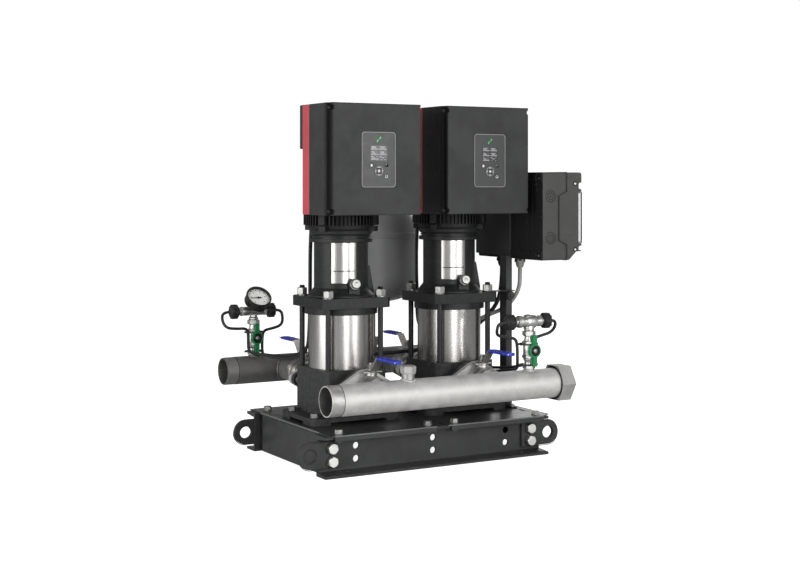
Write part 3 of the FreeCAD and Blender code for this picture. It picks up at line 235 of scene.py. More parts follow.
# %% Finish helpers
def new_finish(name, colour, roughness, metallic=0.0):
    """A material with one Principled shader, its tree and the place in the frame in metres."""
    material = bpy.data.materials.new(name)
    material.use_nodes = True
    tree = material.node_tree
    shader = tree.nodes["Principled BSDF"]
    shader.inputs["Base Color"].default_value = (*colour, 1)
    shader.inputs["Roughness"].default_value = roughness
    shader.inputs["Metallic"].default_value = metallic
    place = add_node(tree, "ShaderNodeTexCoord").outputs["Object"]
    return material, tree, shader, place


def toned(colour, share):
    """The colour made darker or paler, never above white."""
    return tuple(min(1, c * share) for c in colour)


def stretched(tree, place, scale):
    """The place in the frame, stretched along the axes."""
    return add_node(tree, "ShaderNodeMapping", {"Vector": place, "Scale": scale}).outputs[0]


def noise(tree, place, scale, detail=4.0, roughness=0.55):
    return add_node(tree, "ShaderNodeTexNoise", {
        "Vector": place, "Scale": scale, "Detail": detail, "Roughness": roughness}).outputs["Fac"]


def vary_colour(tree, shader, source, low, high, start=0.35, end=0.65):
    tree.links.new(ramp(tree, source, [(start, low), (end, high)]), shader.inputs["Base Color"])


def vary_gloss(tree, shader, source, low, high):
    spread = add_node(tree, "ShaderNodeMapRange", {
        "Value": source, "From Min": 0.3, "From Max": 0.7, "To Min": low, "To Max": high})
    tree.links.new(spread.outputs[0], shader.inputs["Roughness"])


def relief(tree, shader, layers, edge=0.0):
    """Bump from (source, height in metres) layers on top of rounded edges of radius `edge`."""
    normal = None
    if edge:
        normal = add_node(tree, "ShaderNodeBevel", {"Radius": edge}, samples=4).outputs[0]
    for source, height in layers:
        inputs = {"Height": source, "Strength": 1.0, "Distance": height}
        if normal is not None:
            inputs["Normal"] = normal
        normal = add_node(tree, "ShaderNodeBump", inputs).outputs[0]
    tree.links.new(normal, shader.inputs["Normal"])


def coated(name, colour, roughness, grain, height, spread=0.12, edge=0.0008, shine=0.3):
    """Paint or powder coat: fine orange peel, slow changes of tone and gloss."""
    material, tree, shader, place = new_finish(name, colour, roughness)
    shader.inputs["Specular IOR Level"].default_value = shine
    slow = noise(tree, place, 14.0, 3.0)
    vary_colour(tree, shader, slow, toned(colour, 1 - spread), toned(colour, 1 + spread))
    vary_gloss(tree, shader, noise(tree, place, 60.0, 3.0), roughness - 0.05, roughness + 0.06)
    relief(tree, shader, [(noise(tree, place, grain, 2.0), height)], edge)
    return material


print("finish helpers ready")


# %% [markdown]
# ## Painted and moulded finishes
# Each row names a material slot of the construction and then the paint: its name and colour, how
# rough it is, the grain's scale and height, and where they differ from the usual ones the spread of
# its tone, the roundness of its edges in metres and its shine.

# %% Painted and moulded finishes
coats = {
    "anthracite": ("anthracite_paint", (0.039, 0.0395, 0.0395), 0.50, 1500, 0.00006, 0.12, 0.002, 0.15),
    "frame_paint": ("frame_powder_coat", (0.036, 0.0365, 0.037), 0.34, 1100, 0.00008, 0.12, 0.002),
    "red_trim": ("red_band", (0.50, 0.072, 0.088), 0.42, 1500, 0.00004, 0.05),
    "panel_black": ("panel_face", (0.048, 0.049, 0.05), 0.34, 2200, 0.00002, 0.04, 0.0004),
    "key_grey": ("key_rubber", (0.05, 0.051, 0.052), 0.55, 2000, 0.00003, 0.05, 0.0003),
    "lever_blue": ("blue_dip", (0.020, 0.036, 0.38), 0.34, 700, 0.00008, 0.1, 0.001),
    "handle_green": ("green_lacquer", (0.010, 0.19, 0.065), 0.36, 900, 0.00006, 0.15),
    "tank_grey": ("tank_enamel", (0.180, 0.182, 0.184), 0.42, 420, 0.00006, 0.04, 0.001),
    "sensor_black": ("sensor_moulding", (0.022, 0.022, 0.023), 0.52, 1600, 0.00006),
    "dial_white": ("dial_card", (0.95, 0.95, 0.92), 0.5, 2500, 0.00001, 0.02, 0.0),
    "gauge_black": ("gauge_lacquer", (0.014, 0.014, 0.015), 0.26, 1200, 0.00003),
    "needle_black": ("needle_lacquer", (0.012, 0.012, 0.012), 0.4, 2000, 0.00001, 0.05, 0.0),
    "enclosure": ("enclosure_moulding", (0.054, 0.054, 0.052), 0.50, 900, 0.00016, 0.06, 0.0015),
    "switchgear_grey": ("breaker_case", (0.50, 0.50, 0.48), 0.48, 1500, 0.00004, 0.04),
    "cable": ("cable_sheath", (0.022, 0.022, 0.023), 0.44, 900, 0.00005, 0.1, 0.0)}
finishes = {slot: coated(*coat) for slot, coat in coats.items()}
black_oxide = coated("black_oxide", (0.014, 0.014, 0.0145), 0.38, 1800, 0.00003, 0.1, 0.0004)
# Pale paint for painted highlights along folded edges.
edge_painted_highlight = coated("edge_painted_highlight", (0.15, 0.152, 0.154), 0.28, 1100, 0.00004)
lead_grey = coated("lead_grey", (0.30, 0.30, 0.285), 0.42, 900, 0.00004, 0.06, 0.0)
back_black = coated("back_moulding", (0.010, 0.010, 0.010), 0.50, 900, 0.0001, 0.1)
print("coated finishes:", len(finishes))


# %% [markdown]
# ## Cast iron
# The pump castings come out of sand. Up close the skin is a field of soft lumps with finer grains on
# them, and the paint fills the hollows a little. Two noises of different size make it, and the pump
# base, which is the roughest casting, gets the same recipe with a bigger height.

# %% Cast iron
def cast_iron(name, colour, lump_height, grain_height, roughness=0.5):
    material, tree, shader, place = new_finish(name, colour, roughness)
    shader.inputs["Specular IOR Level"].default_value = 0.25
    lumps = noise(tree, place, 75.0, 5.0, 0.6)
    grains = noise(tree, place, 520.0, 3.0)
    vary_colour(tree, shader, lumps, toned(colour, 0.78), toned(colour, 1.25))
    vary_gloss(tree, shader, grains, roughness - 0.1, roughness + 0.14)
    relief(tree, shader, [(lumps, lump_height), (grains, grain_height)], 0.001)
    return material


finishes["black_iron"] = cast_iron("cast_iron_paint", (0.014, 0.0145, 0.015), 0.00022, 0.00012, 0.42)
# A darker copy of the cast-iron paint for the deep motor fins: painted shade.
fin_paint_painted_shade = cast_iron("fin_paint_painted_shade", (0.006, 0.0062, 0.0064), 0.0002, 0.0001)
rough_iron = cast_iron("sand_cast_iron", (0.036, 0.0365, 0.037), 0.0030, 0.0005)
print("castings:", finishes["black_iron"].name, fin_paint_painted_shade.name, rough_iron.name)


# %% [markdown]
# ## Bare and plated metal
# Stainless sleeves are brushed, so their gloss has very fine lines along the brush. Zinc and nickel
# are plated and a little cloudy. The manifolds are dipped in molten zinc, which freezes into pale and
# dark crystals: a cell pattern and slow clouds together set their tone and their gloss.

# %% Metals
def plated(name, colour, roughness, cloud_scale=45.0, spread=0.14, edge=0.0006, grain=900.0,
           grain_height=0.00004):
    material, tree, shader, place = new_finish(name, colour, roughness, 1.0)
    clouds = noise(tree, place, cloud_scale, 4.0)
    vary_colour(tree, shader, clouds, toned(colour, 1 - spread), toned(colour, 1 + spread))
    vary_gloss(tree, shader, noise(tree, place, cloud_scale * 3), roughness - 0.07, roughness + 0.1)
    relief(tree, shader, [(noise(tree, place, grain, 2.0), grain_height)], edge)
    return material


def brushed(name, colour, roughness):
    """Brushed sheet: noise drawn out along the brush lines, which run upwards."""
    material, tree, shader, place = new_finish(name, colour, roughness, 1.0)
    lines = noise(tree, stretched(tree, place, (260.0, 260.0, 6.0)), 1.0, 6.0, 0.7)
    slow = noise(tree, stretched(tree, place, (16.0, 16.0, 0.9)), 1.0, 2.0)
    vary_colour(tree, shader, slow, toned(colour, 0.93), toned(colour, 1.05))
    vary_gloss(tree, shader, lines, roughness - 0.03, roughness + 0.04)
    relief(tree, shader, [(lines, 0.000006)], 0.0005)
    return material


def galvanised(name, tone):
    """Hot-dip zinc: frozen crystals under slow clouds, in a slightly warm grey."""
    material, tree, shader, place = new_finish(name, grey(tone), 0.5, 0.75)
    crystals = add_node(tree, "ShaderNodeTexVoronoi", {"Vector": place, "Scale": 260.0})
    single = add_node(tree, "ShaderNodeSeparateColor", {0: crystals.outputs["Color"]})
    clouds = noise(tree, place, 34.0, 6.0)
    mixed = add_node(tree, "ShaderNodeMath", {0: single.outputs[0], 1: 0.16, 2: clouds},
                     operation="MULTIPLY_ADD").outputs[0]
    warm = (tone, tone * 0.985, tone * 0.955)
    vary_colour(tree, shader, mixed, toned(warm, 0.90), toned(warm, 1.07), 0.36, 0.80)
    vary_gloss(tree, shader, mixed, 0.54, 0.68)
    relief(tree, shader, [(noise(tree, place, 500.0, 2.0), 0.00005)], 0.0008)
    return material


finishes["stainless"] = brushed("brushed_stainless", (0.44, 0.43, 0.415), 0.25)
finishes["zinc"] = plated("zinc_plate", (0.66, 0.66, 0.64), 0.34)
finishes["nickel_brass"] = plated("nickel_plate", (0.44, 0.435, 0.415), 0.42, 60.0, 0.16)
finishes["galvanised"] = galvanised("hot_dip_zinc", 0.60)
finishes["motor_steel"] = plated("laminated_steel", (0.30, 0.30, 0.31), 0.42)
finishes["copper_core"] = plated("varnished_winding", (0.45, 0.24, 0.12), 0.38)
finishes["hydraulic_steel"] = plated("pressed_steel", (0.60, 0.60, 0.60), 0.30)
smooth_plate = (0.05, 0.0006, 500.0, 0.00001)
bright_zinc = plated("bright_zinc", (0.32, 0.32, 0.31), 0.42, 30.0, *smooth_plate)
# A paler copy of the bolt zinc for the lug bolt heads: painted light.
pale_zinc_painted_light = plated("pale_zinc_painted_light", (0.66, 0.66, 0.64), 0.46, 30.0, *smooth_plate)
satin_nickel = plated("satin_nickel", (0.52, 0.515, 0.50), 0.36, 80.0, 0.06, 0.0008, 900.0, 0.00001)
machined = plated("cut_thread", (0.56, 0.555, 0.54), 0.50, 30.0, 0.04, 0.0003, 300.0, 0.00001)
strap_steel = plated("strap_steel", (0.62, 0.61, 0.59), 0.32, 70.0, 0.12)
# Darker copies of the zinc for the manifold at the back, which stands in shade: painted shade.
rear_zinc_painted_shade = galvanised("hot_dip_zinc_rear_painted_shade", 0.20)
rear_thread_painted_shade = galvanised("rear_thread_painted_shade", 0.26)
weld_zinc = galvanised("weld_bead", 0.56)
cap_zinc = galvanised("cap_zinc", 0.46)
bore_zinc_painted_shade = galvanised("bore_zinc_painted_shade", 0.16)
print("metals: stainless, zinc, nickel, hot-dip zinc and three inner ones")


# %% [markdown]
# ## Clear window
# The control box has a clear flap over its switches. It is solid plastic and lets light through, so a
# transmission shader does the work, with a faint tint and very fine scratches in its gloss.

# %% Clear plastic
def clear_plastic():
    material, tree, shader, place = new_finish("clear_flap", (0.86, 0.88, 0.89), 0.05)
    shader.inputs["Transmission Weight"].default_value = 1.0
    shader.inputs["IOR"].default_value = 1.46
    vary_gloss(tree, shader, noise(tree, stretched(tree, place, (30.0, 30.0, 400.0)), 1.0), 0.02, 0.10)
    return material


finishes["window"] = clear_plastic()
print("clear plastic:", finishes["window"].name)


# %% [markdown]
# ## Drive paint with painted shade
# In the photograph each drive sinks into a soft dark band round its front left corner, and it darkens
# where the other drive stands close. Here both are painted shade: the band is measured from that corner,
# and the closeness comes from ambient occlusion. Both act on the colour alone.

# %% Drive paint with painted shade
drive_pitch = 0.328
corner_y = 0.180
corner_stretch = 2.5
band_start, band_end = 0.008, 0.030
near_distance, near_power = 0.09, 2.0
painted_shade_colour = (0.004, 0.004, 0.004, 1)


def cover_paint_painted_shade():
    """Drive paint with painted shade: a dark band along the front left corner and in narrow gaps."""
    material = finishes["anthracite"].copy()
    material.name = "drive_cover_paint"
    tree = material.node_tree
    shader = tree.nodes["Principled BSDF"]
    left_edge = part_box("drive_covers")[0][0]
    place = add_node(tree, "ShaderNodeTexCoord").outputs["Object"]
    split = add_node(tree, "ShaderNodeSeparateXYZ", {0: place})

    def maths(operation, source, value=0.0):
        return add_node(tree, "ShaderNodeMath", {0: source, 1: value}, operation=operation).outputs[0]

    from_edge = maths("MODULO", maths("SUBTRACT", split.outputs["X"], left_edge), drive_pitch)
    across = maths("ABSOLUTE", maths("MULTIPLY", from_edge, corner_stretch))
    depth = maths("ABSOLUTE", maths("ADD", split.outputs["Y"], corner_y))
    reach = maths("SQRT", maths("ADD", maths("POWER", across, 2.0), maths("POWER", depth, 2.0)))
    band = add_node(tree, "ShaderNodeMapRange", {
        "Value": reach, "From Min": band_start, "From Max": band_end}, interpolation_type="SMOOTHSTEP")
    near = add_node(tree, "ShaderNodeAmbientOcclusion", {"Distance": near_distance}, samples=8)
    # Painted shade: the corner band times the occlusion of close parts darkens the base colour.
    shade = maths("MULTIPLY", band.outputs[0], maths("POWER", near.outputs["AO"], near_power))
    paint = shader.inputs["Base Color"].links[0].from_socket
    mix = add_node(tree, "ShaderNodeMix", {"Factor": shade, 6: painted_shade_colour, 7: paint}, data_type="RGBA")
    tree.links.new(mix.outputs[2], shader.inputs["Base Color"])
    return material


drive_paint_painted_shade = cover_paint_painted_shade()
print("drive paint:", drive_paint_painted_shade.name)


# %% [markdown]
# ## Dressing
# Every node of the construction names a material slot, and the finish of that slot goes on it. A few
# nodes then get a finish of their own: the sand castings, the deep fins, the drives and the manifold
# at the back, which stands in shade. The fins and the rear manifold get darker copies of their finish
# and the drives a dark band, all of it painted shade.

# %% Dressing
def dress(node_name, material):
    """Put a finish on a carried-over node by its material slot."""
    piece = nodes[node_name]
    if not piece.material_slots:
        piece.data.materials.append(material)
    for holder in piece.material_slots:
        holder.material = material


for part in frame["record"]["subparts"]:
    dress(part["node"], finishes[part["material_slot"]])
for node_name, finish in (("pump_bases", rough_iron), ("motor_frames", fin_paint_painted_shade),
                          ("manifold_rear", rear_zinc_painted_shade), ("drive_covers", drive_paint_painted_shade),
                          ("drive_housings", drive_paint_painted_shade)):
    dress(node_name, finish)


# %% [markdown]
# ## Small solid forms
# Bolts, plugs and fittings are all turned or six-sided, so one kind of builder makes them: rings of
# points are stacked along an axis and skinned. A hexagon gets its turned chamfer by lowering the
# corners of its top ring. Sizes are in millimetres, as on the drawing, and become metres at the end.

# %% Small solid forms
body_name = "set"
pump_at = (-164.0, 164.0)
base_top, foot_top, head_top = 103.0, 121.0, 417.5
drive_bottom, drive_top = 629.0, 905.5
front_axis, rear_axis, port_z = -265.0, 360.0, 192.0
tube_r, branch_r = 38.05, 31.0
tap_at = (("rear", -251.0, rear_axis), ("front", 241.0, front_axis))
tee_z, handle_z = 354.0, 281.0
stub_x, tank_x = -117.0, 120.0
hex_turn_share, hex_count = 0.485, 48
still = Matrix.Identity(4)
upwards, downwards = (0, 0, 1), (0, 0, -1)
to_front, to_right, to_left = (0, -1, 0), (1, 0, 0), (-1, 0, 0)
corners = [(sx, sy) for sx in (-1, 1) for sy in (-1, 1)]


def at(origin, axis=upwards, turn=0.0):
    """Place of a form: its own Z goes along `axis`, turned about it by `turn` degrees."""
    aim = Vector(axis).normalized().to_track_quat("Z", "Y").to_matrix().to_4x4()
    return Matrix.Translation(origin) @ aim @ Matrix.Rotation(radians(turn), 4, "Z")


def raised(place, height):
    """The place moved along its own Z."""
    return place @ Matrix.Translation((0, 0, height))


def circle(r, z, count=40):
    return [(r * cos(2 * pi * i / count), r * sin(2 * pi * i / count), z) for i in range(count)]


def corner_reach(angle, flats):
    """Distance from the axis to a hexagon's edge in the direction `angle`."""
    return flats / 2 / cos((angle + pi / 6) % (pi / 3) - pi / 6)


def hex_ring(flats, z, chamfer=0.0):
    """Hexagon as a ring; `chamfer` 1 sets its corners lower and -1 sets them higher."""
    ring = []
    for i in range(hex_count):
        angle = 2 * pi * i / hex_count
        reach = corner_reach(angle, flats)
        drop = max(0.0, reach - flats * hex_turn_share) * tan(pi / 6) * chamfer
        ring.append((reach * cos(angle), reach * sin(angle), z - drop))
    return ring


class Forms:
    """Gathers many small forms into one mesh; `slot` picks the finish."""

    def __init__(self):
        self.points, self.faces, self.slots = [], [], []

    def add(self, points, faces, place, slot=0):
        first = len(self.points)
        self.points += [place @ Vector(p) for p in points]
        self.faces += [[first + i for i in face] for face in faces]
        self.slots += [slot] * len(faces)

    def stack(self, rings, place, slot=0, start=True, end=True):
        """Skin rings of equal count one after the other, with flat ends."""
        count = len(rings[0])
        faces = []
        for k in range(len(rings) - 1):
            for i in range(count):
                j = (i + 1) % count
                faces.append((k * count + i, k * count + j, (k + 1) * count + j, (k + 1) * count + i))
        if start:
            faces.append(tuple(reversed(range(count))))
        if end:
            faces.append(tuple((len(rings) - 1) * count + i for i in range(count)))
        self.add([p for ring in rings for p in ring], faces, place, slot)

    def turned(self, profile, place, slot=0, count=40, ends=True):
        """Turned form from (radius, height) pairs."""
        self.stack([circle(r, z, count) for r, z in profile], place, slot, ends, ends)

    def hexagon(self, flats, height, place, slot=0, both=False):
        """Hexagon bar with a turned chamfer on its far end, or on both."""
        near = [hex_ring(flats, 0)]
        if both:
            near = [circle(flats * hex_turn_share, 0, hex_count), hex_ring(flats, 0, -1)]
        far = [hex_ring(flats, height, 1), circle(flats * hex_turn_share, height, hex_count)]
        self.stack(near + far, place, slot)

    def thread(self, r, pitch, depth, z0, z1, place, slot=0, count=40, ends=True):
        """Screw thread: the radius follows one helical ridge."""
        steps = max(2, int((z1 - z0) / pitch * 5))
        rings = []
        for k in range(steps + 1):
            z = z0 + (z1 - z0) * k / steps
            ring = []
            for i in range(count):
                phase = (z / pitch - i / count) % 1.0
                radius = r - depth * abs(2 * phase - 1)
                angle = 2 * pi * i / count
                ring.append((radius * cos(angle), radius * sin(angle), z))
            rings.append(ring)
        self.stack(rings, place, slot, ends, ends)

    def block(self, low, high, place=still, slot=0):
        (x0, y0, z0), (x1, y1, z1) = low, high
        points = [(x, y, z) for z in (z0, z1) for x, y in ((x0, y0), (x1, y0), (x1, y1), (x0, y1))]
        faces = [(3, 2, 1, 0), (4, 5, 6, 7), (0, 1, 5, 4), (1, 2, 6, 5), (2, 3, 7, 6), (3, 0, 4, 7)]
        self.add(points, faces, place, slot)

    def slab(self, outline, z0, z1, place, slot=0):
        """Flat plate with that outline."""
        self.stack([[(u, w, z) for u, w in outline] for z in (z0, z1)], place, slot)

    def band(self, outer, inner, z0, z1, place, slot=0):
        """Flat frame between two outlines of equal count."""
        rings = [[(u, w, z) for u, w in line] for line, z in
                 ((inner, z0), (outer, z0), (outer, z1), (inner, z1), (inner, z0))]
        self.stack(rings, place, slot, False, False)

    def path(self, line, r, slot=0, count=12):
        """Round bar along a list of points."""
        rings = []
        side = None
        for k, point in enumerate(line):
            before, after = line[max(k - 1, 0)], line[min(k + 1, len(line) - 1)]
            along = (Vector(after) - Vector(before)).normalized()
            side = along.orthogonal() if side is None else (side - along * side.dot(along))
            side.normalize()
            third = along.cross(side)
            radius = r[k] if isinstance(r, (list, tuple)) else r
            ring = []
            for i in range(count):
                angle = 2 * pi * i / count
                ring.append(Vector(point) + side * (radius * cos(angle)) + third * (radius * sin(angle)))
            rings.append(ring)
        self.stack(rings, still, slot)

    def finish(self, name, materials, body=body_name, stands_for=(), crease=24):
        """Make the mesh in metres, let it ride on its body and stand for the given nodes."""
        mesh = bpy.data.meshes.new(name)
        mesh.from_pydata([p * 0.001 for p in self.points], [], self.faces)
        for material in materials:
            mesh.materials.append(material)
        mesh.polygons.foreach_set("material_index", self.slots)
        mesh.polygons.foreach_set("use_smooth", [True] * len(self.faces))
        mesh.set_sharp_from_angle(angle=radians(crease))
        mesh.update()
        made = bpy.data.objects.new(name, mesh)
        scene.collection.objects.link(made)
        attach(made, body)
        if stands_for:
            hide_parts(*stands_for)
        return made


def rounded(width, height, r, steps=6):
    """Outline of a rectangle with round corners, about its middle."""
    line = []
    for quarter, (su, sw) in enumerate(((1, 1), (-1, 1), (-1, -1), (1, -1))):
        for k in range(steps + 1):
            angle = (quarter + k / steps) * pi / 2
            line.append((su * (width / 2 - r) + r * cos(angle), sw * (height / 2 - r) + r * sin(angle)))
    return line


def moved(outline, du, dw):
    return [(u + du, w + dw) for u, w in outline]


print("form builder ready")


# %% [markdown]
# ## Staybolts, plugs and screws
# The staybolts are blackened rods with a chamfered thread end, under plated nuts. One of them goes
# without a washer. The vent plug leans out of the head. The cover screws are dark and sit in deep
# recesses, so only a glint of their heads is seen.

# %% Staybolts, vent plugs and cover screws
stay_reach, stay_bottom, rod_end, nut_flats, nut_height = 75, 221, head_top + 26, 24, 17
vent_turn, vent_rise = radians(262), radians(12)


def staybolt(forms, x, y, washer):
    """Blackened rod with a thread at its end, under a plated nut."""
    foot = at((x, y, 0))
    forms.turned([(7, stay_bottom), (7, head_top + 12)], foot, 1, 20)
    forms.thread(7.4, 2.0, 0.9, head_top + 10, rod_end - 1.5, foot, 1, 24)
    forms.turned([(6.8, rod_end - 1.5), (5.4, rod_end)], foot, 1, 24)
    if washer:
        forms.turned([(14, 0), (14, 2.1), (13.5, 2.5)], at((x, y, head_top)), 0)
    forms.hexagon(nut_flats, nut_height, at((x, y, head_top + 2.5), turn=20 + x % 37), both=True)


stays = Forms()
for x in pump_at:
    for sx, sy in corners:
        bare = x > 0 and sx > 0 and sy < 0
        staybolt(stays, x + sx * stay_reach, sy * stay_reach, not bare)
stays.finish("staybolt_set", [bright_zinc, black_oxide], stands_for=["staybolts"])

vents = Forms()
vent_axis = Vector((cos(vent_turn) * cos(vent_rise), sin(vent_turn) * cos(vent_rise), sin(vent_rise)))
for x in pump_at:
    seat = Vector((x - 5, -95, head_top + 36.5)) - vent_axis * 14
    vents.turned([(8, -14), (8, 0), (13, 0), (13, 2), (12.6, 2.5)], at(seat, vent_axis))
    vents.hexagon(21, 12, at(seat + vent_axis * 2.4, vent_axis, 12))
    vents.turned([(4.4, 0), (4.4, 0.8), (3.2, 1.2)], at(seat + vent_axis * 14.3, vent_axis), 0, 24)
vents.finish("vent_plug_set", [bright_zinc], stands_for=["vent_plugs"])

drive_screws = Forms()
for x in pump_at:
    for u in (-122.0, 128.0):
        for z in (drive_bottom + 10, drive_top - 12):
            place = at((x + u, -171, z), to_front)
            drive_screws.turned([(2, -35), (2, 0), (4.6, 0), (4.6, 5.4), (4.0, 6), (2.4, 6), (2.3, 3.2),
                                 (0.1, 3.2)], place, 0, 24)
            drive_screws.turned([(5.7, -0.4), (5.7, 0.0), (4.8, 0.1)], place, 1, 24)
drive_screws.finish("cover_screw_set", [black_oxide, finishes["gauge_black"]])
print("staybolts, plugs and screws done")


# %% [markdown]
# ## Bolts
# Every bolt of the drawing gets a chamfered head, a washer and the turns of its thread where they
# show. The lug bolts have pale heads on dark washers; the paler zinc of those heads is painted light. A
# kind of bolt is given by its width over flats, its head's height, its shank's radius and length, and
# the thickness that its nut holds together.

# %% Bolts
lug_kind, foot_kind, plate_kind = (24, 10, 8, 30, 14), (19, 8, 5.5, 35, 21), (18, 8, 6, 21, 12.7)
flange_kind, post_kind = (19, 8, 6, 43, 30), (13, 5, 4, 20, 7)
lug_bolt_x, lug_bolt_y, lug_bolt_z, lug_bolt_rise = 291.0, 197.0, 50, 16
foot_bolt_x, foot_bolt_y = 107.5, 65
plate_bolt_x, plate_bolt_y, plate_bolt_shift = 125, 208, 12
flange_bolt_x, flange_y = 66, 143
post_bolt_x = 309.0
washer_top = 1.8


def bolt(forms, kind, start, axis, washer_slot=0, head_slot=0):
    """Bolt of that kind whose head lies on `start` and whose shank goes along `axis`."""
    flats, head, shank, length, held = kind
    out = tuple(-c for c in axis)
    place = at(start, out, turn=7.0 * (len(forms.faces) % 5))
    forms.turned([(flats * 0.62, 0), (flats * 0.62, 1.4), (flats * 0.60, washer_top)], place, washer_slot)
    forms.hexagon(flats, head, raised(place, washer_top), head_slot)
    inwards = at(start, axis)
    forms.hexagon(flats, head, raised(inwards, held), both=True)
    forms.thread(shank, shank * 0.3, shank * 0.12, held, length, inwards, count=20)
    forms.turned([(shank - 0.6, 0), (shank - 0.6, held)], inwards, count=12)


bolts = Forms()
for sx, sy in corners:
    for rise in (-lug_bolt_rise, lug_bolt_rise):
        start = (sx * lug_bolt_x, sy * lug_bolt_y, lug_bolt_z + rise)
        bolt(bolts, lug_kind, start, (0, -sy, 0), 1, 2)
for x in pump_at:
    for sx in (-1, 1):
        for sy in (-1, 1):
            foot = (x + sx * foot_bolt_x, sy * foot_bolt_y, foot_top)
            plate = (x + plate_bolt_shift + sx * plate_bolt_x, sy * plate_bolt_y, base_top)
            bolt(bolts, foot_kind, foot, downwards)
            bolt(bolts, plate_kind, plate, downwards)
        for sy in (-1, 1):
            flange = (x + sx * flange_bolt_x, sy * flange_y, port_z)
            bolt(bolts, flange_kind, flange, (0, -sy, 0))
for y in (-89.0, -29.0):
    bolt(bolts, post_kind, (post_bolt_x, y, base_top + 4), downwards)
bolts.finish("bolt_set", [bright_zinc, black_oxide, pale_zinc_painted_light], stands_for=["fasteners"])
print("bolts:", len(bolts.faces), "faces")


# %% [markdown]
# ## Rims and a bead
# The drawing has the motor's foot as one slope. The casting has a crisp upright bowl over two thin
# rims with dark grooves under them. The tank's two halves meet in a rolled bead. Each row is a
# finish and the turned profile that takes it, as (radius, height) pairs.

# %% Stool rims and the tank's bead
stool_rims = [
    (0, [(80.3, 557.4), (81.4, 558.0), (81.4, 566.4), (80.6, 567.2), (74.3, 567.2)]),
    (1, [(74.4, 567.1), (74.4, 570.4)]),
    (0, [(74.4, 570.2), (77.0, 570.4), (77.4, 571.0), (77.4, 573.4), (74.4, 574.0)]),
    (1, [(74.2, 573.8), (74.2, 575.2)]),
    (0, [(74.2, 575.0), (78.0, 576.2), (80.6, 579.4), (81.6, 585), (82.6, 592), (83.4, 602.4), (82.4, 603)])]
tank_bead = [
    (2, [(135.0, 559.4), (136.6, 560.2), (137.4, 562.4), (137.4, 565.2), (136.6, 567.4), (135.0, 568.4)]),
    (1, [(135.2, 555.8), (135.6, 556.4), (135.6, 559.2), (135.2, 559.8)])]

rims = Forms()
for x in pump_at:
    for slot, profile in stool_rims:
        rims.turned(profile, at((x, 0, 0)), slot, 96, False)
for slot, profile in tank_bead:
    rims.turned(profile, at((tank_x, rear_axis, 0)), slot, 128, False)
rims.finish("cast_rims", [finishes["black_iron"], black_oxide, finishes["tank_grey"]])
print("rims done")


# %% [markdown]
# ## Folded edges
# Where sheet is folded a pale bar paints the highlight that the fold catches, with a black bar below it
# as painted shade. The lugs get a fine outline and a rounded edge in their eyes, black as painted shade.

# %% Folded edges and lugs
plate_x0, plate_half, skirt_half = -314.0, 240.0, 172
plate_spans = ((-303.0, -19.0), (14.0, 306.0))
lug_eye, lug_face, lug_z, lug_r, lug_start = 348.5, 197.0, 50, 32.4, 268
eye_painted_shade = [(18.2, -0.1), (17.6, 0.5), (16.8, 0.5), (16.4, 0.0), (16.4, -8.0)]

folds = Forms()
# Painted light on each fold: a pale bar of highlight and a black bar of shade below it.
for x, z, r, slot, count in ((plate_x0 + 1.6, 101.6, 2.4, 0, 12), (plate_x0 - 0.1, 98.2, 0.9, 1, 8)):
    folds.path([(x, -skirt_half, z), (x, skirt_half, z)], r, slot, count)
for x0, x1 in plate_spans:
    for s in (-1, 1):
        for inset, z, r, slot, count in ((1.2, 101.8, 1.9, 0, 12), (0.6, 89.2, 1.2, 1, 8)):
            y = s * (plate_half - inset)
            folds.path([(x0, y, z), (x1, y, z)], r, slot, count)
for sx, sy in corners:
    # Black ring in each lug's eye: painted shade.
    folds.turned(eye_painted_shade, at((sx * lug_eye, sy * lug_face, lug_z), (0, sy, 0)), 1, 40, False)
    y = sy * (lug_face - 0.2)
    rim = [(sx * lug_start, y, lug_z + lug_r)]
    for k in range(25):
        angle = pi * k / 24
        rim.append((sx * (lug_eye + lug_r * sin(angle)), y, lug_z + lug_r * cos(angle)))
    folds.path(rim + [(sx * lug_start, y, lug_z - lug_r)], 0.9, 2, 8)
folds.finish("fold_painted_light_lines", [edge_painted_highlight, black_oxide, finishes["frame_paint"]])
print("folds done")


# %% [markdown]
# ## Guards
# Each guard is two thin sheets. The lower one laps over the upper one, and that lap shows as one dark
# line across the bright window.

# %% Guard laps
lap_inner, lap_half_turn, lap_steps = 66.15, 26, 24
lap_strips = ((483.6, 485.9, 66.5, 1), (480.6, 483.6, 66.5 * (1 + 0.25 / 66), 0))

laps = Forms()
for x in pump_at:
    for turn in (250.0, 70.0):
        for z0, z1, outer, slot in lap_strips:
            rings = []
            for k in range(lap_steps + 1):
                angle = radians(turn - lap_half_turn + 2 * lap_half_turn * k / lap_steps)
                c, s = cos(angle), sin(angle)
                rings.append([(x + r * c, r * s, z) for r, z in
                              ((lap_inner, z0), (outer, z0), (outer, z1), (lap_inner, z1))])
            laps.stack(rings, still, slot)
laps.finish("guard_laps", [finishes["stainless"], black_oxide])
print("guard laps done")


# %% [markdown]
# ## Control panels
# The panel is a dark sheet with a fine pale frame line. On it are a green indicator, a small display
# that shows six tiles of bars, and five keys. Nothing can be read on it: where the real one carries
# words there are plain bars. The icons lie on the keys, so they ride on the keys and sink with them.

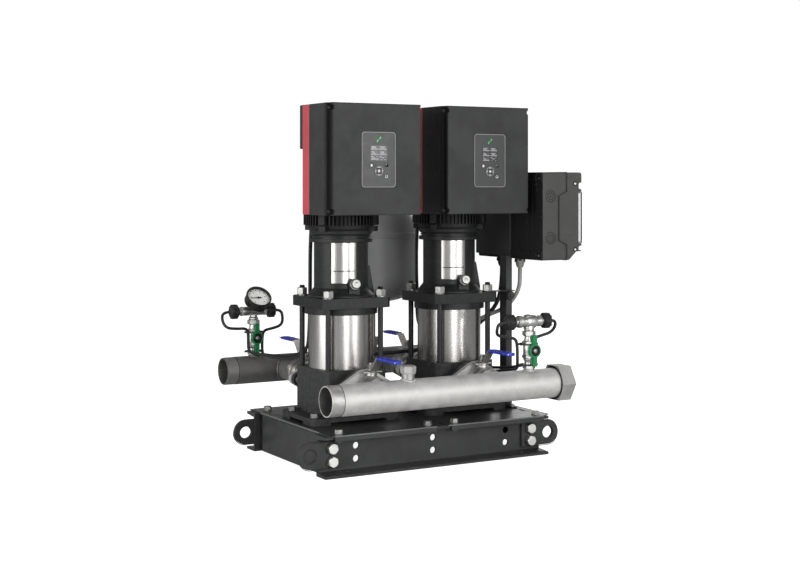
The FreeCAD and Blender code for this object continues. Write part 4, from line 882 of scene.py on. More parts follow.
# %% Panels
panel_face, panel_shift, panel_z = 191.5, 6.0, 766.5
print_top = 0.12
indicator_dots = (((-3.6, 46.0), 6.6, 2.5, 62), ((4.2, 53.4), 6.6, 2.5, 62), ((0.4, 49.8), 2.0, 1.9, 0))
roof = [(-24.6, -13.4), (-17.4, -13.4), (-17.4, -13.2), (-21, -10.2)]
walls = [(-23.6, -17.0), (-18.4, -17.0), (-18.4, -13.4), (-23.6, -13.4)]
back_bars = (((20.4, -12.0), 6.6, 1.9), ((23.4, -14.4), 1.9, 6.0), ((18.0, -12.0), 2.4, 4.4))
ring_z, power_at = -28, (21, -41.5)


def flat_paint(name, colour, roughness=0.45, glow=0.0):
    """Plain print whose gloss varies a little; the indicator also glows."""
    material, tree, shader, place = new_finish(name, colour, roughness)
    if glow:
        shader.inputs["Emission Color"].default_value = (*colour, 1)
        shader.inputs["Emission Strength"].default_value = glow
    spots = noise(tree, place, 1200.0, 2.0)
    vary_gloss(tree, shader, spots, roughness - 0.04, roughness + 0.05)
    return material


line_grey = flat_paint("panel_line", (0.30, 0.30, 0.30))
print_light = flat_paint("key_print", (0.72, 0.72, 0.72))
tile_dark = flat_paint("display_ground", (0.022, 0.022, 0.024), 0.25)
tile_mid = flat_paint("display_bar", (0.24, 0.24, 0.25), 0.3)
tile_light = flat_paint("display_line", (0.46, 0.46, 0.47), 0.3)
indicator_green = flat_paint("indicator", (0.02, 0.50, 0.10), 0.3, 0.35)


def panel_place(x, lift=0.0):
    """Place on a panel: u to the right, w up, z out of the panel, from its middle."""
    return Matrix(((1, 0, 0, x + panel_shift), (0, 0, -1, -panel_face - lift), (0, 1, 0, panel_z),
                   (0, 0, 0, 1)))


def leaning_bar(forms, middle, length, width, angle, place, slot, z1=0.35):
    """Short bar with round ends on the panel."""
    line = rounded(length, width, width * 0.48, 4)
    c, s = cos(radians(angle)), sin(radians(angle))
    line = [(u * c - w * s + middle[0], u * s + w * c + middle[1]) for u, w in line]
    forms.slab(line, -0.3, z1, place, slot)


for side, x in zip(("left", "right"), pump_at):
    face = Forms()
    place = panel_place(x)
    face.band(rounded(95.0, 136.5, 8.5), rounded(92.6, 134.1, 7.4), -0.5, 0.35, place, 0)
    face.slab(moved(rounded(47.5, 37.0, 1.0), 0, 16.2), -0.2, 0.5, place, 1)
    lift = panel_place(x, 0.5)
    for column, u in enumerate((-11.8, 11.4)):
        for row, w in enumerate((28.5, 15.5, 3.5)):
            top = [(14.0, 9.0, 5.0), (12.0, 16.0, 6.0)][column][row]
            bars = [((u - 9.8 + top / 2, w + 3.6), top, 1.2, 3), ((u + 6.0, w + 3.6), 5.0, 1.1, 2),
                    ((u - 3.0 + 2 * column, w + 1.0), 12.0 - 2 * row, 1.3, 3)]
            if (column, row) == (1, 2):
                bars += [((u - 5, w - 3.5), 3.2, 1.0, 3), ((u + 6, w - 3.5), 3.2, 1.0, 3)]
            else:
                face.slab(moved(rounded(20.6, 3.4, 0.4), u, w - 2.4), -0.3, print_top, lift, 2)
            for middle, length, width, slot in bars:
                leaning_bar(face, middle, length, width, 0, lift, slot, print_top)
    for middle, length, width, angle in indicator_dots:
        leaning_bar(face, middle, length, width, angle, place, 4)
    face.finish("panel_print_" + side, [line_grey, tile_dark, tile_mid, tile_light, indicator_green])

    icons = {key: Forms() for key in ("home", "back", "arrows", "ok", "power")}
    lift = panel_place(x, 1.2)
    for outline in (roof, walls):
        icons["home"].slab(outline, -0.2, print_top, lift)
    for middle, length, width in back_bars:
        leaning_bar(icons["back"], middle, length, width, 0, lift, 0, print_top)
    ring = [moved(rounded(2 * r, 2 * r, r, 10), 0, ring_z) for r in (12, 10.8)]
    icons["arrows"].band(*ring, -0.2, 0.1, lift, 1)
    for angle in (0, 90, 180, 270):
        c, s = cos(radians(angle)), sin(radians(angle))
        for lean in (-1, 1):
            middle = (9.0 * c - lean * 1.2 * s, ring_z + 9.0 * s + lean * 1.2 * c)
            leaning_bar(icons["arrows"], middle, 4.0, 1.3, angle + 90 + lean * 32, lift, 0, 0.14)
    icons["ok"].slab(moved(rounded(8.6, 8.6, 4.3, 8), 0, ring_z), -0.2, 0.1, lift, 2)
    leaning_bar(icons["ok"], (0, ring_z), 5.6, 3.0, 0, lift, 0, 0.16)
    ring = [moved(rounded(2 * r, 2 * r, r, 8), *power_at) for r in (3.8, 2.4)]
    icons["power"].band(*ring, -0.2, print_top, lift, 0)
    leaning_bar(icons["power"], (power_at[0], power_at[1] + 2.9), 1.6, 3.4, 0, lift, 0, 0.16)
    for key, form in icons.items():
        form.finish(f"icon_{key}_{side}", [print_light, line_grey, tile_mid], f"key_{key}_{side}")
print("panels done")


# %% [markdown]
# ## Manifolds
# The tubes are welded and then dipped. A lumpy weld bead goes round every branch and follows the true
# line in which two tubes meet.

# %% Weld beads
bead_steps, tap_branch, stub_branch, tank_branch = 72, 12.8, 16.4, 18.8


def bead(forms, x, axis_y, reach, branch, toward):
    """Weld bead where a branch of radius `branch` leaves a tube that runs along X."""
    line, radii = [], []
    for k in range(bead_steps + 1):
        angle = 2 * pi * k / bead_steps
        along, side = branch * cos(angle), branch * sin(angle)
        out = sqrt(max(tube_r * tube_r - side * side, 0.0))
        if toward == "up":
            line.append((x + along, axis_y + side, port_z + out))
        else:
            line.append((x + along, axis_y + toward * out, port_z + side))
        radii.append(reach * (1 + 0.13 * sin(23 * angle) + 0.06 * sin(5 * k)))
    forms.path(line, radii, 0, 10)


welds, rear_welds = Forms(), Forms()
for x in pump_at:
    bead(welds, x, front_axis, 3.4, branch_r, 1)
    bead(rear_welds, x, rear_axis, 3.4, branch_r, -1)
for (name, x, y), forms in zip(tap_at, (rear_welds, welds)):
    bead(forms, x, y, 2.2, tap_branch, "up")
bead(welds, stub_x, front_axis, 2.8, stub_branch, "up")
bead(rear_welds, tank_x, rear_axis, 2.6, tank_branch, "up")
welds.finish("weld_beads_front", [weld_zinc])
rear_welds.finish("weld_beads_rear", [rear_zinc_painted_shade])
print("weld beads done")


# %% [markdown]
# ## Pipe ends
# The open end has a cut thread as long as in the photograph. The drawing's band is longer, so plain
# tube with a dark line at the thread's end covers the rest of it. The far end carries a six-sided cap
# over a black ring, painted shade for the gap behind it. Looking into the open end, the inside of the
# tube is darker zinc as painted shade.

# %% Threads, caps and bores
tube_start, tube_end, thread_length, bore_r = -342.0, 316.0, 32.5, 0.0348
end_rings = [
    (0, [(36.2, 0.1), (37.0, 0.8), (37.0, 2.2)]),
    (1, [(36.9, 32.3), (36.9, 33.0), (38.1, 33.6), (38.12, 45.6), (38.0, 46.4)]),
    (2, [(37.6, 32.2), (38.2, 32.9), (38.2, 33.5), (38.0, 33.7)]),
    (0, [(34.46, 0.1), (36.2, 0.1)])]
for name, y, finish, tube in (("front", front_axis, machined, finishes["galvanised"]),
                              ("rear", rear_axis, rear_thread_painted_shade, rear_zinc_painted_shade)):
    ends = Forms()
    start = at((tube_start, y, port_z), to_right)
    ends.thread(37.6, 2.31, 0.66, 2.2, thread_length, start, 0, 72, False)
    for slot, profile in end_rings:
        ends.turned(profile, start, slot, 72, False)
    ends.finish("thread_" + name, [finish, tube, black_oxide])

caps = Forms()
for slot, y in ((0, front_axis), (1, rear_axis)):
    place = at((tube_end, y, port_z), to_right)
    # A black ring behind each hexagon paints the shade of the gap under the cap.
    caps.turned([(38.2, 1.5), (38.2, -0.6), (43.4, -0.6), (43.8, 0.2)], place, 2, 48, False)
    turned_cap = place @ Matrix.Rotation(radians(30), 4, "Z")
    caps.stack([hex_ring(88, 0), hex_ring(88, 38.4), hex_ring(86.4, 39.2)], turned_cap, slot)
    caps.turned([(40.6, 39.0), (40.6, 39.6), (39.8, 40.0)], place, slot, 48)
stub = at((stub_x, front_axis, port_z + 51))
caps.turned([(15.7, -6), (15.7, 4)], stub, 0, 32, False)
caps.turned([(17.2, 1.0), (18.6, 1.4), (18.6, 3.0), (17.6, 3.6)], stub, 0, 40)
caps.hexagon(34, 17, raised(stub, 3.2), 0, both=True)
caps.turned([(15.2, 20), (15.2, 20.5), (14.4, 20.9)], stub, 0, 32)
caps.finish("cap_set", [cap_zinc, rear_zinc_painted_shade, black_oxide], stands_for=["manifold_caps"])
stub_sleeve = Forms()
stub_root = at((stub_x, front_axis, port_z))
stub_sleeve.turned([(17.0, 36.2), (15.9, 38.4), (15.85, 51.8)], stub_root, 0, 40, False)
stub_sleeve.finish("stub_sleeve", [bright_zinc])

# Inward faces of both tubes take the darker zinc: painted shade inside the bore.
for node_name, axis_y in (("manifold_front", front_axis), ("manifold_rear", rear_axis)):
    tube = nodes[node_name]
    tube.data.materials.append(bore_zinc_painted_shade)
    axis = Vector((0, axis_y, port_z)) * 0.001
    for polygon in tube.data.polygons:
        out = polygon.center - axis
        out.x = 0
        if out.length < bore_r and polygon.normal.dot(out) < 0:
            polygon.material_index = len(tube.data.materials) - 1
print("pipe ends done")


# %% [markdown]
# ## Ball valves
# A valve body is turned, with a round belly over its ball and a hexagon at the pipe side. Over the
# stem are the gland and a flat stop plate.

# %% Valve bodies
valve_at = (("front", -1, 165.0, (44, 136)), ("rear", 1, 222.0, (52, 122)))
stop_half = 26

valve_bodies = Forms()
for x in pump_at:
    for name, way, centre, grip in valve_at:
        place = at((x, way * (centre - 22), port_z), (0, way, 0))
        valve_bodies.turned([(25, 0), (33, 0), (34, 1), (34, 4), (32.5, 5)], place, 0, 48)
        belly = [(32.5 + 6.2 * sin(pi * k / 16) ** 0.8, 5 + 35 * k / 16) for k in range(17)]
        valve_bodies.turned(belly, place, 0, 48)
        valve_bodies.turned([(32.5, 39), (34.2, 40.4), (34.2, 42), (33, 43)], place, 0, 48)
        valve_bodies.hexagon(69, 15, raised(place, 42), 0, both=True)
        top = at((x, way * centre, port_z))
        valve_bodies.turned([(19, 30), (16.5, 36), (13.4, 39), (13, 46)], top, 0, 36)
        valve_bodies.turned([(15, 44.6), (15, 47.4), (14.2, 48)], top, 0, 36)
        valve_bodies.block((x - stop_half, way * centre - 8.5, port_z + 46.6),
                           (x + stop_half, way * centre + 8.5, port_z + 49.6))
valve_bodies.finish("valve_body_set", [finishes["nickel_brass"]], stands_for=["valve_bodies"])
print("valve bodies done")


# %% [markdown]
# ## Levers
# The lever is plain bent strap that lies on the stop plate and rises beside its nut. The grip is flat
# and dipped in blue, with finger waves along both edges. Each lever carries its stem and its ball, so
# they turn together.

# %% Levers
strap_half, strap_end, grip_waves, grip_round_from = 10, 134, 4.5, 0.93


def wavy_grip(forms, x, way, start, end, rise):
    """Blue sleeve over a flat strap, with finger waves on both edges and round corners."""
    steps = 44
    rings = []
    for k in range(steps + 1):
        share = k / steps
        y = start + (end - start) * share
        past = max(0.0, (share - grip_round_from) / (1 - grip_round_from))
        close = sqrt(max(0.0, 1 - past ** 2))
        half = (11.6 + 1.5 * sin(share * 2 * pi * grip_waves)) * max(close, 0.25)
        thick = 4.4 * (0.9 + 0.1 * close)
        ring = []
        for i in range(16):
            angle = 2 * pi * i / 16
            u = half * abs(cos(angle)) ** 0.5 * (1 if cos(angle) >= 0 else -1)
            w = thick * abs(sin(angle)) ** 0.6 * (1 if sin(angle) >= 0 else -1)
            ring.append((x + u, way * y, rise + w))
        rings.append(ring)
    forms.stack(rings, still, 1)
    for k in range(7):
        y = start + 14 + k * (end - start - 30) / 6
        low = (x - 7, min(way * y, way * (y + 4)), rise + 4.0)
        forms.block(low, (x + 7, max(way * y, way * (y + 4)), rise + 5.0), slot=1)


for side, x in zip(("left", "right"), pump_at):
    for name, way, centre, grip in valve_at:
        lever = Forms()
        low, high = port_z + 50.6, port_z + 85.0
        profile = [(-14, low), (14, low), (41, high - 2), (strap_end, high - 2),
                   (strap_end, high + 1.5), (39.6, high + 1.5), (12.6, low + 3.6), (-14, low + 3.6)]
        flip = [(way * (centre + y), z) for y, z in profile]
        faces = [tuple(range(8)), tuple(reversed(range(8, 16)))]
        faces += [(i, 8 + i, 8 + (i + 1) % 8, (i + 1) % 8) for i in range(8)]
        lever.add([(x + s * strap_half, y, z) for s in (-1, 1) for y, z in flip], faces, still)
        stem = at((x, way * centre, port_z))
        ball = [(28 * sin(pi * (k + 1) / 18), -28 * cos(pi * (k + 1) / 18)) for k in range(17)]
        lever.turned(ball, stem, 2, 36)
        lever.turned([(7, 24), (7, 70), (6.4, 71)], stem, 2, 24)
        lever.turned([(11, 54.3), (11, 56)], stem, 2, 28)
        lever.hexagon(19, 10, raised(stem, 56), 2, both=True)
        wavy_grip(lever, x, way, centre + grip[0], centre + grip[1], high - 0.2)
        node = f"valve_lever_{name}_{side}"
        lever.finish(f"lever_{name}_{side}", [strap_steel, finishes["lever_blue"], bright_zinc], node, [node])
print("levers done")


# %% [markdown]
# ## Instruments
# Each manifold carries a small tap with a tee on it. The tee holds two sensors, and the rear one also
# the gauge. The front tee is one stout turned body. The rear one is slimmer, with a hexagon at each
# end.

# %% Taps and tees
tap_body = [(12, 50), (11.4, 56), (11.6, 60), (14.4, 64), (15.0, 69), (15.0, 108), (14.0, 113),
            (11.6, 118), (11.4, 124)]
tap_hexes = ((29, 12, 41), (31, 9, 68), (31, 9, 103), (30, 13, 125))

taps = Forms()
for name, x, y in tap_at:
    up = at((x, y, port_z))
    taps.turned([(11.8, 36), (11.8, 41)], up, 0, 32, False)
    for flats, height, rise in tap_hexes:
        taps.hexagon(flats, height, raised(up, rise), 0, both=True)
    taps.turned(tap_body, up, 0, 40)
    taps.turned([(10.6, 137), (13.4, 140), (13.4, 143), (10.4, 146), (10.4, 152)], up, 0, 36)
    taps.turned([(10.5, 0), (10.5, 12), (9, 14), (8, 20)], at((x, y, handle_z), to_front), 0, 32)
    tee = at((x - 45, y, tee_z), to_right)
    if name == "front":
        taps.turned([(10, 0), (10, 7), (12.6, 8), (15.6, 12), (15.6, 20), (13.4, 22), (13.4, 30), (16.4, 34),
                     (17.6, 37), (17.6, 59), (16.4, 62), (12.8, 64), (12.8, 72), (14.4, 73), (14.4, 79),
                     (11, 81), (11, 84)], tee, 0, 48)
        taps.turned([(17.7, 41), (18.2, 41.8), (18.2, 44), (17.7, 44.8)], tee, 0, 48, False)
        taps.turned([(12, -19.5), (14.4, -17.5), (14.4, -12), (12, -4)], at((x, y, tee_z)), 0, 40)
    else:
        taps.turned([(9.5, 0), (9.5, 9), (12, 10), (12.4, 16), (12.4, 30), (11.2, 34)], tee, 0, 40)
        taps.turned([(11.2, 34), (11.2, 47), (12.4, 52), (12.4, 70), (9.5, 75), (9.5, 84)], tee, 0, 40)
        for reach in (-40, 29):
            taps.hexagon(23, 8, at((x + reach, y, tee_z), to_right), 0, both=True)
taps.finish("tap_set", [satin_nickel], stands_for=["service_valves"])
print("taps done")


# %% [markdown]
# ## Sensor plugs
# A plug is black moulding that is screwed on by hand, so its grip has rings along it and ribs round
# it. The cable leaves through a small cone.

# %% Sensor plugs
rib_count, ring_count, ring_pitch = 10, 4, 4.2

plugs = Forms()
for name, x, y in tap_at:
    for seat, aim in ((-45, to_left), (39, to_right)):
        place = at((x + seat, y, tee_z), aim)
        plugs.turned([(12.5, 0), (12.5, 3.4), (16.4, 4.2), (16.4, 5.4)], place, 0, 36)
        for k in range(ring_count):
            plugs.turned([(17.8, 0), (19.2, 0.5), (19.2, 3.1), (17.8, 3.6), (17.8, ring_pitch)],
                         raised(place, 5.0 + k * ring_pitch), 0, 36)
        for k in range(rib_count):
            rib = place @ Matrix.Rotation(2 * pi * k / rib_count, 4, "Z")
            plugs.block((17.2, -2.4, 5.4), (20.1, 2.4, 21.4), rib)
        plugs.turned([(14.8, 21.5), (14.8, 23.4), (12.5, 25), (8.5, 25.8)], place, 0, 36)
        plugs.turned([(5.6, 25), (5.2, 28), (4.4, 29.4), (3.4, 29.8)], place, 0, 24)
plugs.finish("sensor_plug_set", [finishes["sensor_black"]], stands_for=["sensor_plugs"])
print("plugs done")


# %% [markdown]
# ## Tap handles
# A green bar with a raised ridge along both edges goes through a round hub. A dark dish and a plated
# screw lie in the hub. The handle carries the tap's stem and ball, and all turn together.

# %% Tap handles
handle_start, handle_end, tap_ball_r = 15.5, 40.0, 9
handle_bars = ((-6.2, 6.2, -27.3, -21.3), (2.2, 6.2, -28.4, -27.2), (-6.2, -4.6, -28.0, -27.2))

for name, x, y in tap_at:
    node = "service_handle_" + name
    handle = Forms()
    hub = at((x, y - 20.3, handle_z), to_front)
    handle.turned([(13.4, 0), (17.0, 0), (17.6, 1.0), (17.6, 8.0), (16.8, 9.0), (13.4, 9.0)],
                  hub, 0, 44, False)
    handle.turned([(4, 0.4), (13.5, 0.4), (13.5, 7.6), (11, 8.6), (9, 6.6), (6.8, 6.6)], hub, 1, 44)
    handle.turned([(5.6, 6.4), (5.6, 9.4), (4.6, 10.4), (2.6, 10.8)], hub, 2, 28)
    for z0, z1 in ((-handle_end, -handle_start), (handle_start, handle_end)):
        for x0, x1, y0, y1 in handle_bars:
            handle.block((x + x0, y + y0, handle_z + z0), (x + x1, y + y1, handle_z + z1))
    ball = [(tap_ball_r * sin(pi * k / 14), -tap_ball_r * cos(pi * k / 14)) for k in range(1, 14)]
    handle.turned(ball, at((x, y, handle_z)), 2, 24)
    handle.turned([(4, 8), (4, 26)], at((x, y, handle_z), to_front), 2, 20)
    handle_looks = [finishes["handle_green"], finishes["gauge_black"], bright_zinc]
    handle.finish("handle_" + name, handle_looks, node, [node])
print("handles done")


# %% [markdown]
# ## Gauge
# The dial has ticks in two lengths and a few dots but no figures, because nothing on the part may be
# read. The needle rides on a body of its own and turns about the middle of the dial.

# %% Gauge
dial_centre = Vector((-247.0, 349.0, 378.0))
face_axis = Vector((0, -sqrt(0.5), sqrt(0.5)))
dial_place = at(dial_centre, face_axis)
dial_start, dial_sweep, dial_z = -45, 270, 18.98
dial_print = flat_paint("dial_print", (0.04, 0.04, 0.042))


def dial_turn(share):
    """Place on the dial after that share of its scale."""
    return dial_place @ Matrix.Rotation(radians(dial_start + dial_sweep * share), 4, "Z")


scale = Forms()
for k in range(51):
    inner, width = (23.5, 0.9) if k % 5 == 0 else (26.0, 0.45)
    scale.block((inner, -width / 2, dial_z), (29.0, width / 2, 19.1), dial_turn(k / 50))
for k in range(6):
    dot = dial_turn(k / 5) @ Matrix.Translation((19.5, 0, 0))
    scale.turned([(1.5, dial_z), (1.5, 19.1)], dot, 0, 16)
scale.path([dial_turn(k / 45) @ Vector((29.4, 0, 19.0)) for k in range(46)], 0.22, 0, 6)
scale.finish("dial_scale", [dial_print])

bezel = Forms()
bezel.turned([(34.5, 18.0), (36.0, 20.8), (36.2, 23.4), (35.4, 26.2), (33.2, 26.9), (31.6, 26.2),
              (31.2, 21.0)], dial_place, 0, 64, False)
bezel.turned([(34.6, 1.2), (35.2, 1.8), (34.6, 2.6)], dial_place, 0, 64, False)
bezel.finish("gauge_bezel", [finishes["gauge_black"]])

needle = Forms()
needle.turned([(1.5, 10.2), (1.5, 20.0), (3.2, 20.0), (3.2, 21.4), (2.6, 21.9)], dial_place, 0, 24)
needle_outline = [(-5.0, 1.3), (6.0, 1.6), (8.4, 2.6), (8.4, -2.6), (6.0, -1.6), (-5.0, -1.3), (-24.5, -0.25),
                  (-24.5, 0.25)]
across, along = Vector(to_right), face_axis.cross(Vector(to_right))
needle_frame = Matrix((across, along, face_axis)).transposed().to_4x4()
needle_frame.translation = dial_centre
needle.slab(needle_outline, 20.2, 21.0, needle_frame)
needle.finish("needle_visual", [finishes["needle_black"]], "gauge_needle", ["gauge_needle"])
print("gauge done")


# %% [markdown]
# ## Cables
# All cables are held at both ends, and the sensor cables are tied to their taps, so they are fixed
# pieces and not loose cords. They follow the picked points of the construction, but the front tap's
# cables hang a little lower where the front manifold hides them. A spline of third order bends round
# corners the way a stiff round cable does.

# %% Sensor cables
sensor_cable_r = 4.0


def cable(name, points, r, finish):
    """Round cable of radius `r` along the points, all in millimetres."""
    curve = bpy.data.curves.new(name, "CURVE")
    curve.dimensions = "3D"
    curve.bevel_depth = r * 0.001
    curve.bevel_resolution = 5
    curve.resolution_u = 10
    spline = curve.splines.new("NURBS")
    spline.points.add(len(points) - 1)
    for point, place in zip(spline.points, points):
        point.co = (*(c * 0.001 for c in place), 1)
    spline.order_u = 3
    spline.use_endpoint_u = True
    curve.materials.append(finish)
    made = bpy.data.objects.new(name, curve)
    scene.collection.objects.link(made)
    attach(made, body_name)
    return made


def sensor_points():
    """The picked points of the four sensor cables: rear pair, then front pair."""
    tx, ty, fx, fy = -251.0, 346.0, 241.0, -251.0
    up_z, near_left, near_right, beside = 655.0, -186.0, 142.0, -201.0
    left, right = near_left - 3.2, near_left + 3.2
    front_left, front_right = near_right - 3.2, near_right + 3.2
    return [
        [(tx - 68, 360, tee_z), (tx - 91, 360, tee_z), (tx - 96, 357, tee_z - 20), (tx - 88, ty, tee_z - 42),
         (tx - 58, ty, tee_z - 46), (tx - 24, ty, tee_z - 46), (tx - 22, ty, tee_z - 70), (tx - 22, ty, 239),
         (tx + 14, ty - 14, 236), (beside - 8, 232, 229), (near_left - 8, 158, 248),
         (left, 132, 292), (left, 132, up_z), (left, 88, up_z)],
        [(tx + 62, 360, tee_z), (tx + 83, 360, tee_z), (tx + 88, 357, tee_z - 20), (tx + 80, ty, tee_z - 42),
         (tx + 50, ty, tee_z - 50), (tx + 24, ty, tee_z - 54), (tx + 20, ty, tee_z - 76), (tx + 20, ty, 236),
         (tx + 24, ty - 8, 233), (beside, 240, 237), (near_left, 166, 256),
         (right, 140, 302), (right, 140, up_z), (right, 88, up_z)],
        [(fx - 68, -265, tee_z), (fx - 92, -265, tee_z), (fx - 97, -262, tee_z - 18),
         (fx - 88, fy, tee_z - 34), (fx - 56, fy, tee_z - 40), (fx - 30, fy, tee_z - 44),
         (fx - 26, fy, tee_z - 70), (fx - 26, fy, 240), (fx + 20, -180, 219), (fx + 28, -60, 201),
         (fx + 30, 50, 191), (fx + 24, 100, 198), (near_right + 54, 116, 234), (near_right - 3, 120, 312),
         (front_left, 132, 360), (front_left, 132, up_z), (front_left, 88, up_z)],
        [(fx + 62, -265, tee_z), (fx + 82, -265, tee_z), (fx + 86, -262, tee_z - 17),
         (fx + 78, fy, tee_z - 34), (fx + 48, fy, tee_z - 40), (fx + 24, fy, tee_z - 46),
         (fx + 24, fy, tee_z - 70), (fx + 24, fy + 6, 248), (fx + 34, -170, 225), (fx + 40, -60, 209),
         (fx + 40, 80, 198), (near_right + 44, 132, 290), (front_right, 140, 340),
         (front_right, 140, up_z), (front_right, 88, up_z)]]


sensor_curves = [cable(f"sensor_cable_{k}", points, sensor_cable_r, finishes["cable"])
                 for k, points in enumerate(sensor_points())]
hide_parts("sensor_cables")
print("sensor cables done")


# %% [markdown]
# ## Control box
# The back of the box is black moulding with a raised border, bosses and mounting screws. Its narrow
# side is grey and has two round knock-outs. The cover screws sit in dark pockets.

# %% Control box details
box_back, box_side, box_under = 318.0, -218.0, 0.5035
seam_line = [(395, 505), (395, 545), (370, 557), (370, 675), (395, 687), (395, 737)]
bosses = ((-185, 705, 6), (-190, 690, 4), (-185, 535, 6), (-196, 550, 4), (-120, 700, 6), (-120, 540, 6))

box_node = nodes["control_box"]
box_node.data.materials.append(back_black)
for polygon in box_node.data.polygons:
    if polygon.normal.x < -0.5 or polygon.center.z < box_under:
        polygon.material_index = 1

details = Forms()
for z in (517.7, 721.0):
    place = at((box_back, -202.5, z), to_left)
    details.turned([(8.0, -0.2), (8.0, 1.6), (7.2, 2.2), (5.4, 2.2), (5.2, 0.6), (0.1, 0.6)], place, 1, 32)
    details.turned([(3.6, 0.4), (3.6, 1.8), (3.0, 2.3), (1.4, 2.3)], place, 2, 20)
place = at((box_back, -207.5, 619.5), to_left)
details.turned([(7.5, -0.2), (7.5, 1.4), (6.6, 2.0), (5.0, 2.0), (4.8, 0.2), (0.1, 0.2)], place, 1, 32)
for y, z, r in bosses:
    details.turned([(r, -0.2), (r, 1.4), (r - 0.8, 2.0), (r * 0.5, 2.0), (r * 0.5, 0.4), (0.1, 0.4)],
                   at((box_back, y, z), to_left), 1, 24)
for z0, z1 in ((509, 529), (712, 733)):
    details.block((315.8, -216, z0), (318.2, -74, z1), slot=1)
    details.block((315.0, -190, z0 + 3), (316.0, -76, z1 - 3), slot=1)
for y in (-172.0, -146.0, -100.0):
    details.block((316.6, y - 1.2, 529), (318.2, y + 1.2, 712), slot=1)

for z in (564.0, 673.7):
    place = at((343.0, box_side, z), to_front)
    for r in (14.6, 8.6):
        details.turned([(r + 0.9, -0.2), (r + 0.9, 0.5), (r - 0.5, 0.5), (r - 0.5, -0.2)],
                       place, 1, 48, False)
        details.turned([(r + 2.6, -0.2), (r + 2.4, 0.5), (r + 1.0, 0.6)], place, 0, 48, False)
    details.block((342.4, box_side - 0.7, z - 4.6), (343.6, box_side, z + 4.6), slot=1)
for z in (706.9, 532.0):
    place = at((423.4, box_side, z), to_front)
    details.turned([(6.4, -0.2), (6.4, 0.5), (5.6, 0.8), (4.6, 0.8), (4.4, 0.1), (0.1, 0.1)], place, 1, 32)
    details.turned([(3.4, 0.0), (3.4, 0.9), (2.8, 1.3), (1.2, 1.3)], place, 2, 20)
for y in (-206.0, 78.0):
    for z in (533.0, 717.0):
        place = at((444.0, y, z), to_right)
        details.turned([(4.2, -8.5), (4.2, -5.5), (3.4, -4.8), (1.4, -4.8)], place, 2, 20)
for y in (box_side, 90.0):
    details.path([(x, y, z) for x, z in seam_line], 2.3, 1, 8)
    details.path([(x - 4.4, y, z) for x, z in seam_line], 1.6, 0, 8)
for z in (505.0, 737.0):
    details.path([(395, -217, z), (395, 89, z)], 1.3, 1, 8)
for y, slot in ((-58.0, 3), (30.0, 1)):
    place = at((356.0, y, 505.0), downwards)
    details.turned([(13.5, 0), (13.5, 3), (12.8, 3.6)], place, slot, 36)
    details.hexagon(26, 10, raised(place, 3), slot, both=True)
    details.turned([(11.6, 12), (11.6, 16), (10.4, 21), (8.4, 26), (7.4, 27), (5.6, 27)], place, slot, 36)
details.finish("box_details", [finishes["enclosure"], back_black, finishes["zinc"], lead_grey])
print("box details done")


# %% [markdown]
# ## Cover and flap
# The cover is a hollow shell whose side follows the stepped seam, with two round notches for its
# screws and room for the flap. Walls, front border and inner rims are plates. The clear flap is bent
# round the front and hangs on a hinge rod along its top, so it rides on a body of its own.

# %% Cover and flap
front_x, flap_x, flap_low, flap_high = 444.0, 434.0, 549.0, 685.0
notch_r, notch_x, notch_end, middle_z = 9.0, front_x - 2, -283, 600


def cover_outline():
    """Side of the cover: seam with its tongue, slanted foot, two screw notches, room for the flap."""
    line = [(395, 505), (403, 505), (427, 527)]
    for z, first in ((533.0, -138), (701.0, -77)):
        for k in range(10):
            angle = radians(first + (notch_end - first) * k / 9)
            line.append((notch_x + notch_r * cos(angle), z + notch_r * sin(angle)))
        if z < middle_z:
            line += [(front_x, flap_low), (flap_x, flap_low), (flap_x, flap_high), (front_x, flap_high)]
    return line + [(front_x, 731), (442.2, 735.2), (438, 737)] + seam_line[:0:-1]


def drawn_out(forms, outline, y0, y1):
    """An outline in the XZ plane drawn out along Y."""
    forms.stack([[(x, y, z) for x, z in outline] for y in (y1, y0)], still)


cover = Forms()
for y0, y1 in ((-218, -215), (87, 90)):
    drawn_out(cover, cover_outline(), y0, y1)
drawn_out(cover, [(395, 734), (438, 734), (441, 731), (441, 711), (444, 711), (444, 731), (442.2, 735.2),
                  (438, 737), (395, 737)], -215, 87)
drawn_out(cover, [(395, 505), (403, 505), (427, 527), (444, 527), (444, 530), (425.8, 530), (401.8, 508),
                  (395, 508)], -215, 87)
plates = [(431, 439, -215, 87, 546, 549), (431, 439, -215, 87, 685, 688),
          (431, 434, -215, 87, 549, 560), (431, 434, -215, 87, 674, 685),
          (431, 434, -215, -206, 560, 674), (431, 434, 78, 87, 560, 674)]
for z0, z1 in ((691, 711), (530, 549)):
    plates += [(441, 444, -206, 78, z0, z1), (431, 441, -206, -203, z0, z1), (431, 441, 75, 78, z0, z1),
               (431, 433, -215, -206, z0, z1), (431, 433, 78, 87, z0, z1)]
for x0, x1, y0, y1, z0, z1 in plates:
    cover.block((x0, y0, z0), (x1, y1, z1))
cover.finish("cover_shell", [finishes["enclosure"]], stands_for=["box_cover"], crease=40)

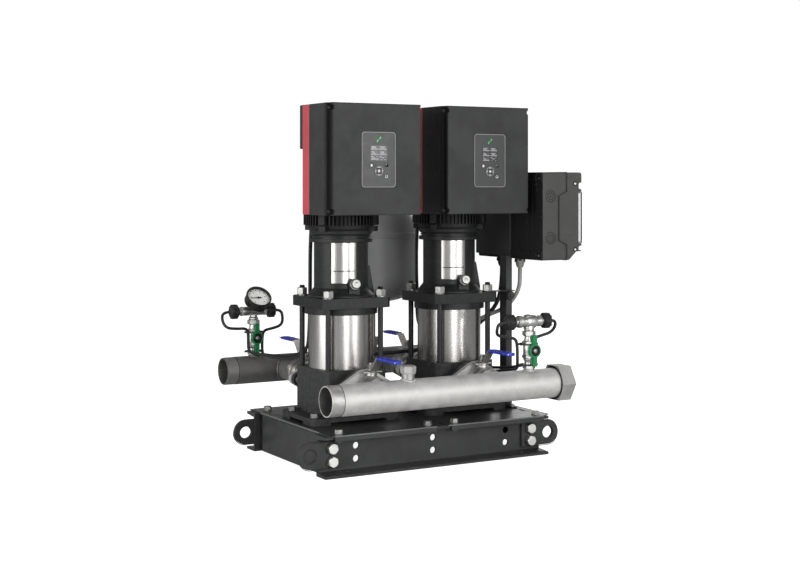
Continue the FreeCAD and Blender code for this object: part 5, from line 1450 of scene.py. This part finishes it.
flap = Forms()
flap.block((443.2, -217.6, 550), (446, 89.6, 684))
for y0, y1 in ((-217.6, -215.2), (87.2, 89.6)):
    flap.block((434.4, y0, 550), (443.2, y1, 684))
for z0, z1 in ((550, 552.4), (681.6, 684)):
    flap.block((434.6, -215.2, z0), (443.2, 87.2, z1))
flap.turned([(2.8, 0), (2.8, 296)], at((443, -212, 687), (0, 1, 0)), 0, 20)
for y in (-190.0, 50.0):
    flap.block((443.2, y, 683), (445.6, y + 12, 688))
flap.block((446, -78, 551), (446.8, -50, 556))
flap.finish("clear_flap", [finishes["window"]], "box_window", ["box_window"])
print("cover and flap done")


# %% [markdown]
# ## Motor leads
# A thicker lead hangs from each gland of the control box and runs behind the pumps to its motor. The
# right motor's lead is grey, and the left one's is dark like the sensor cables.

# %% Motor leads
lead_r = 5.6
right_lead_points = [(356, -58, 493), (356, -58, 460), (356, -57, 430), (351, -45, 400), (334, -20, 365),
                     (296, 30, 340), (256, 115, 292), (198, 142, 260), (184, 142, 280), (184, 142, 635),
                     (184, 122, 655), (184, 88, 655)]
left_lead_points = [(356, 30, 493), (356, 30, 425), (328, 18, 363), (281, 84, 290), (226, 171, 238),
                    (-124, 171, 238), (-144, 171, 258), (-144, 171, 635), (-144, 151, 655), (-144, 88, 655)]
lead_right = cable("motor_lead_right", right_lead_points, lead_r, lead_grey)
cable("motor_lead_left", left_lead_points, lead_r, finishes["cable"])
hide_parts("power_cables")
print("motor leads done")


# %% [markdown]
# ## Cable ties
# Two ties hold each pair of sensor cables to its tap. A tie is a thin closed strap with a small lock.

# %% Ties
tie_steps, tie_reach, tie_half_width, tie_half_thick = 48, 27.5, 1.9, 0.6
tie_faces = [(3, 2, 1, 0), (4, 5, 6, 7), (0, 1, 5, 4), (2, 3, 7, 6)]
tie_heights = ((tee_z - 58, 20.5), (243.0, 18.6))

ties = Forms()
for name, x, y in tap_at:
    middle_y = y - 4 if name == "rear" else y + 4
    for z, depth in tie_heights:
        line = []
        for k in range(tie_steps + 1):
            angle = 2 * pi * k / tie_steps
            line.append(Vector((x + tie_reach * cos(angle), middle_y + depth * sin(angle), z)))
        for near, far in zip(line, line[1:]):
            along = (far - near).normalized()
            side = Vector((along.y, -along.x, 0)) * tie_half_thick
            ring = [near + side, far + side, far - side, near - side]
            points = [point + Vector((0, 0, s * tie_half_width)) for s in (-1, 1) for point in ring]
            ties.add(points, tie_faces, still)
        ties.block((x - 28.8, y - 6, z - 2.6), (x - 26.4, y - 3, z + 2.6))
ties.finish("cable_ties", [finishes["cable"]])
print("ties done")
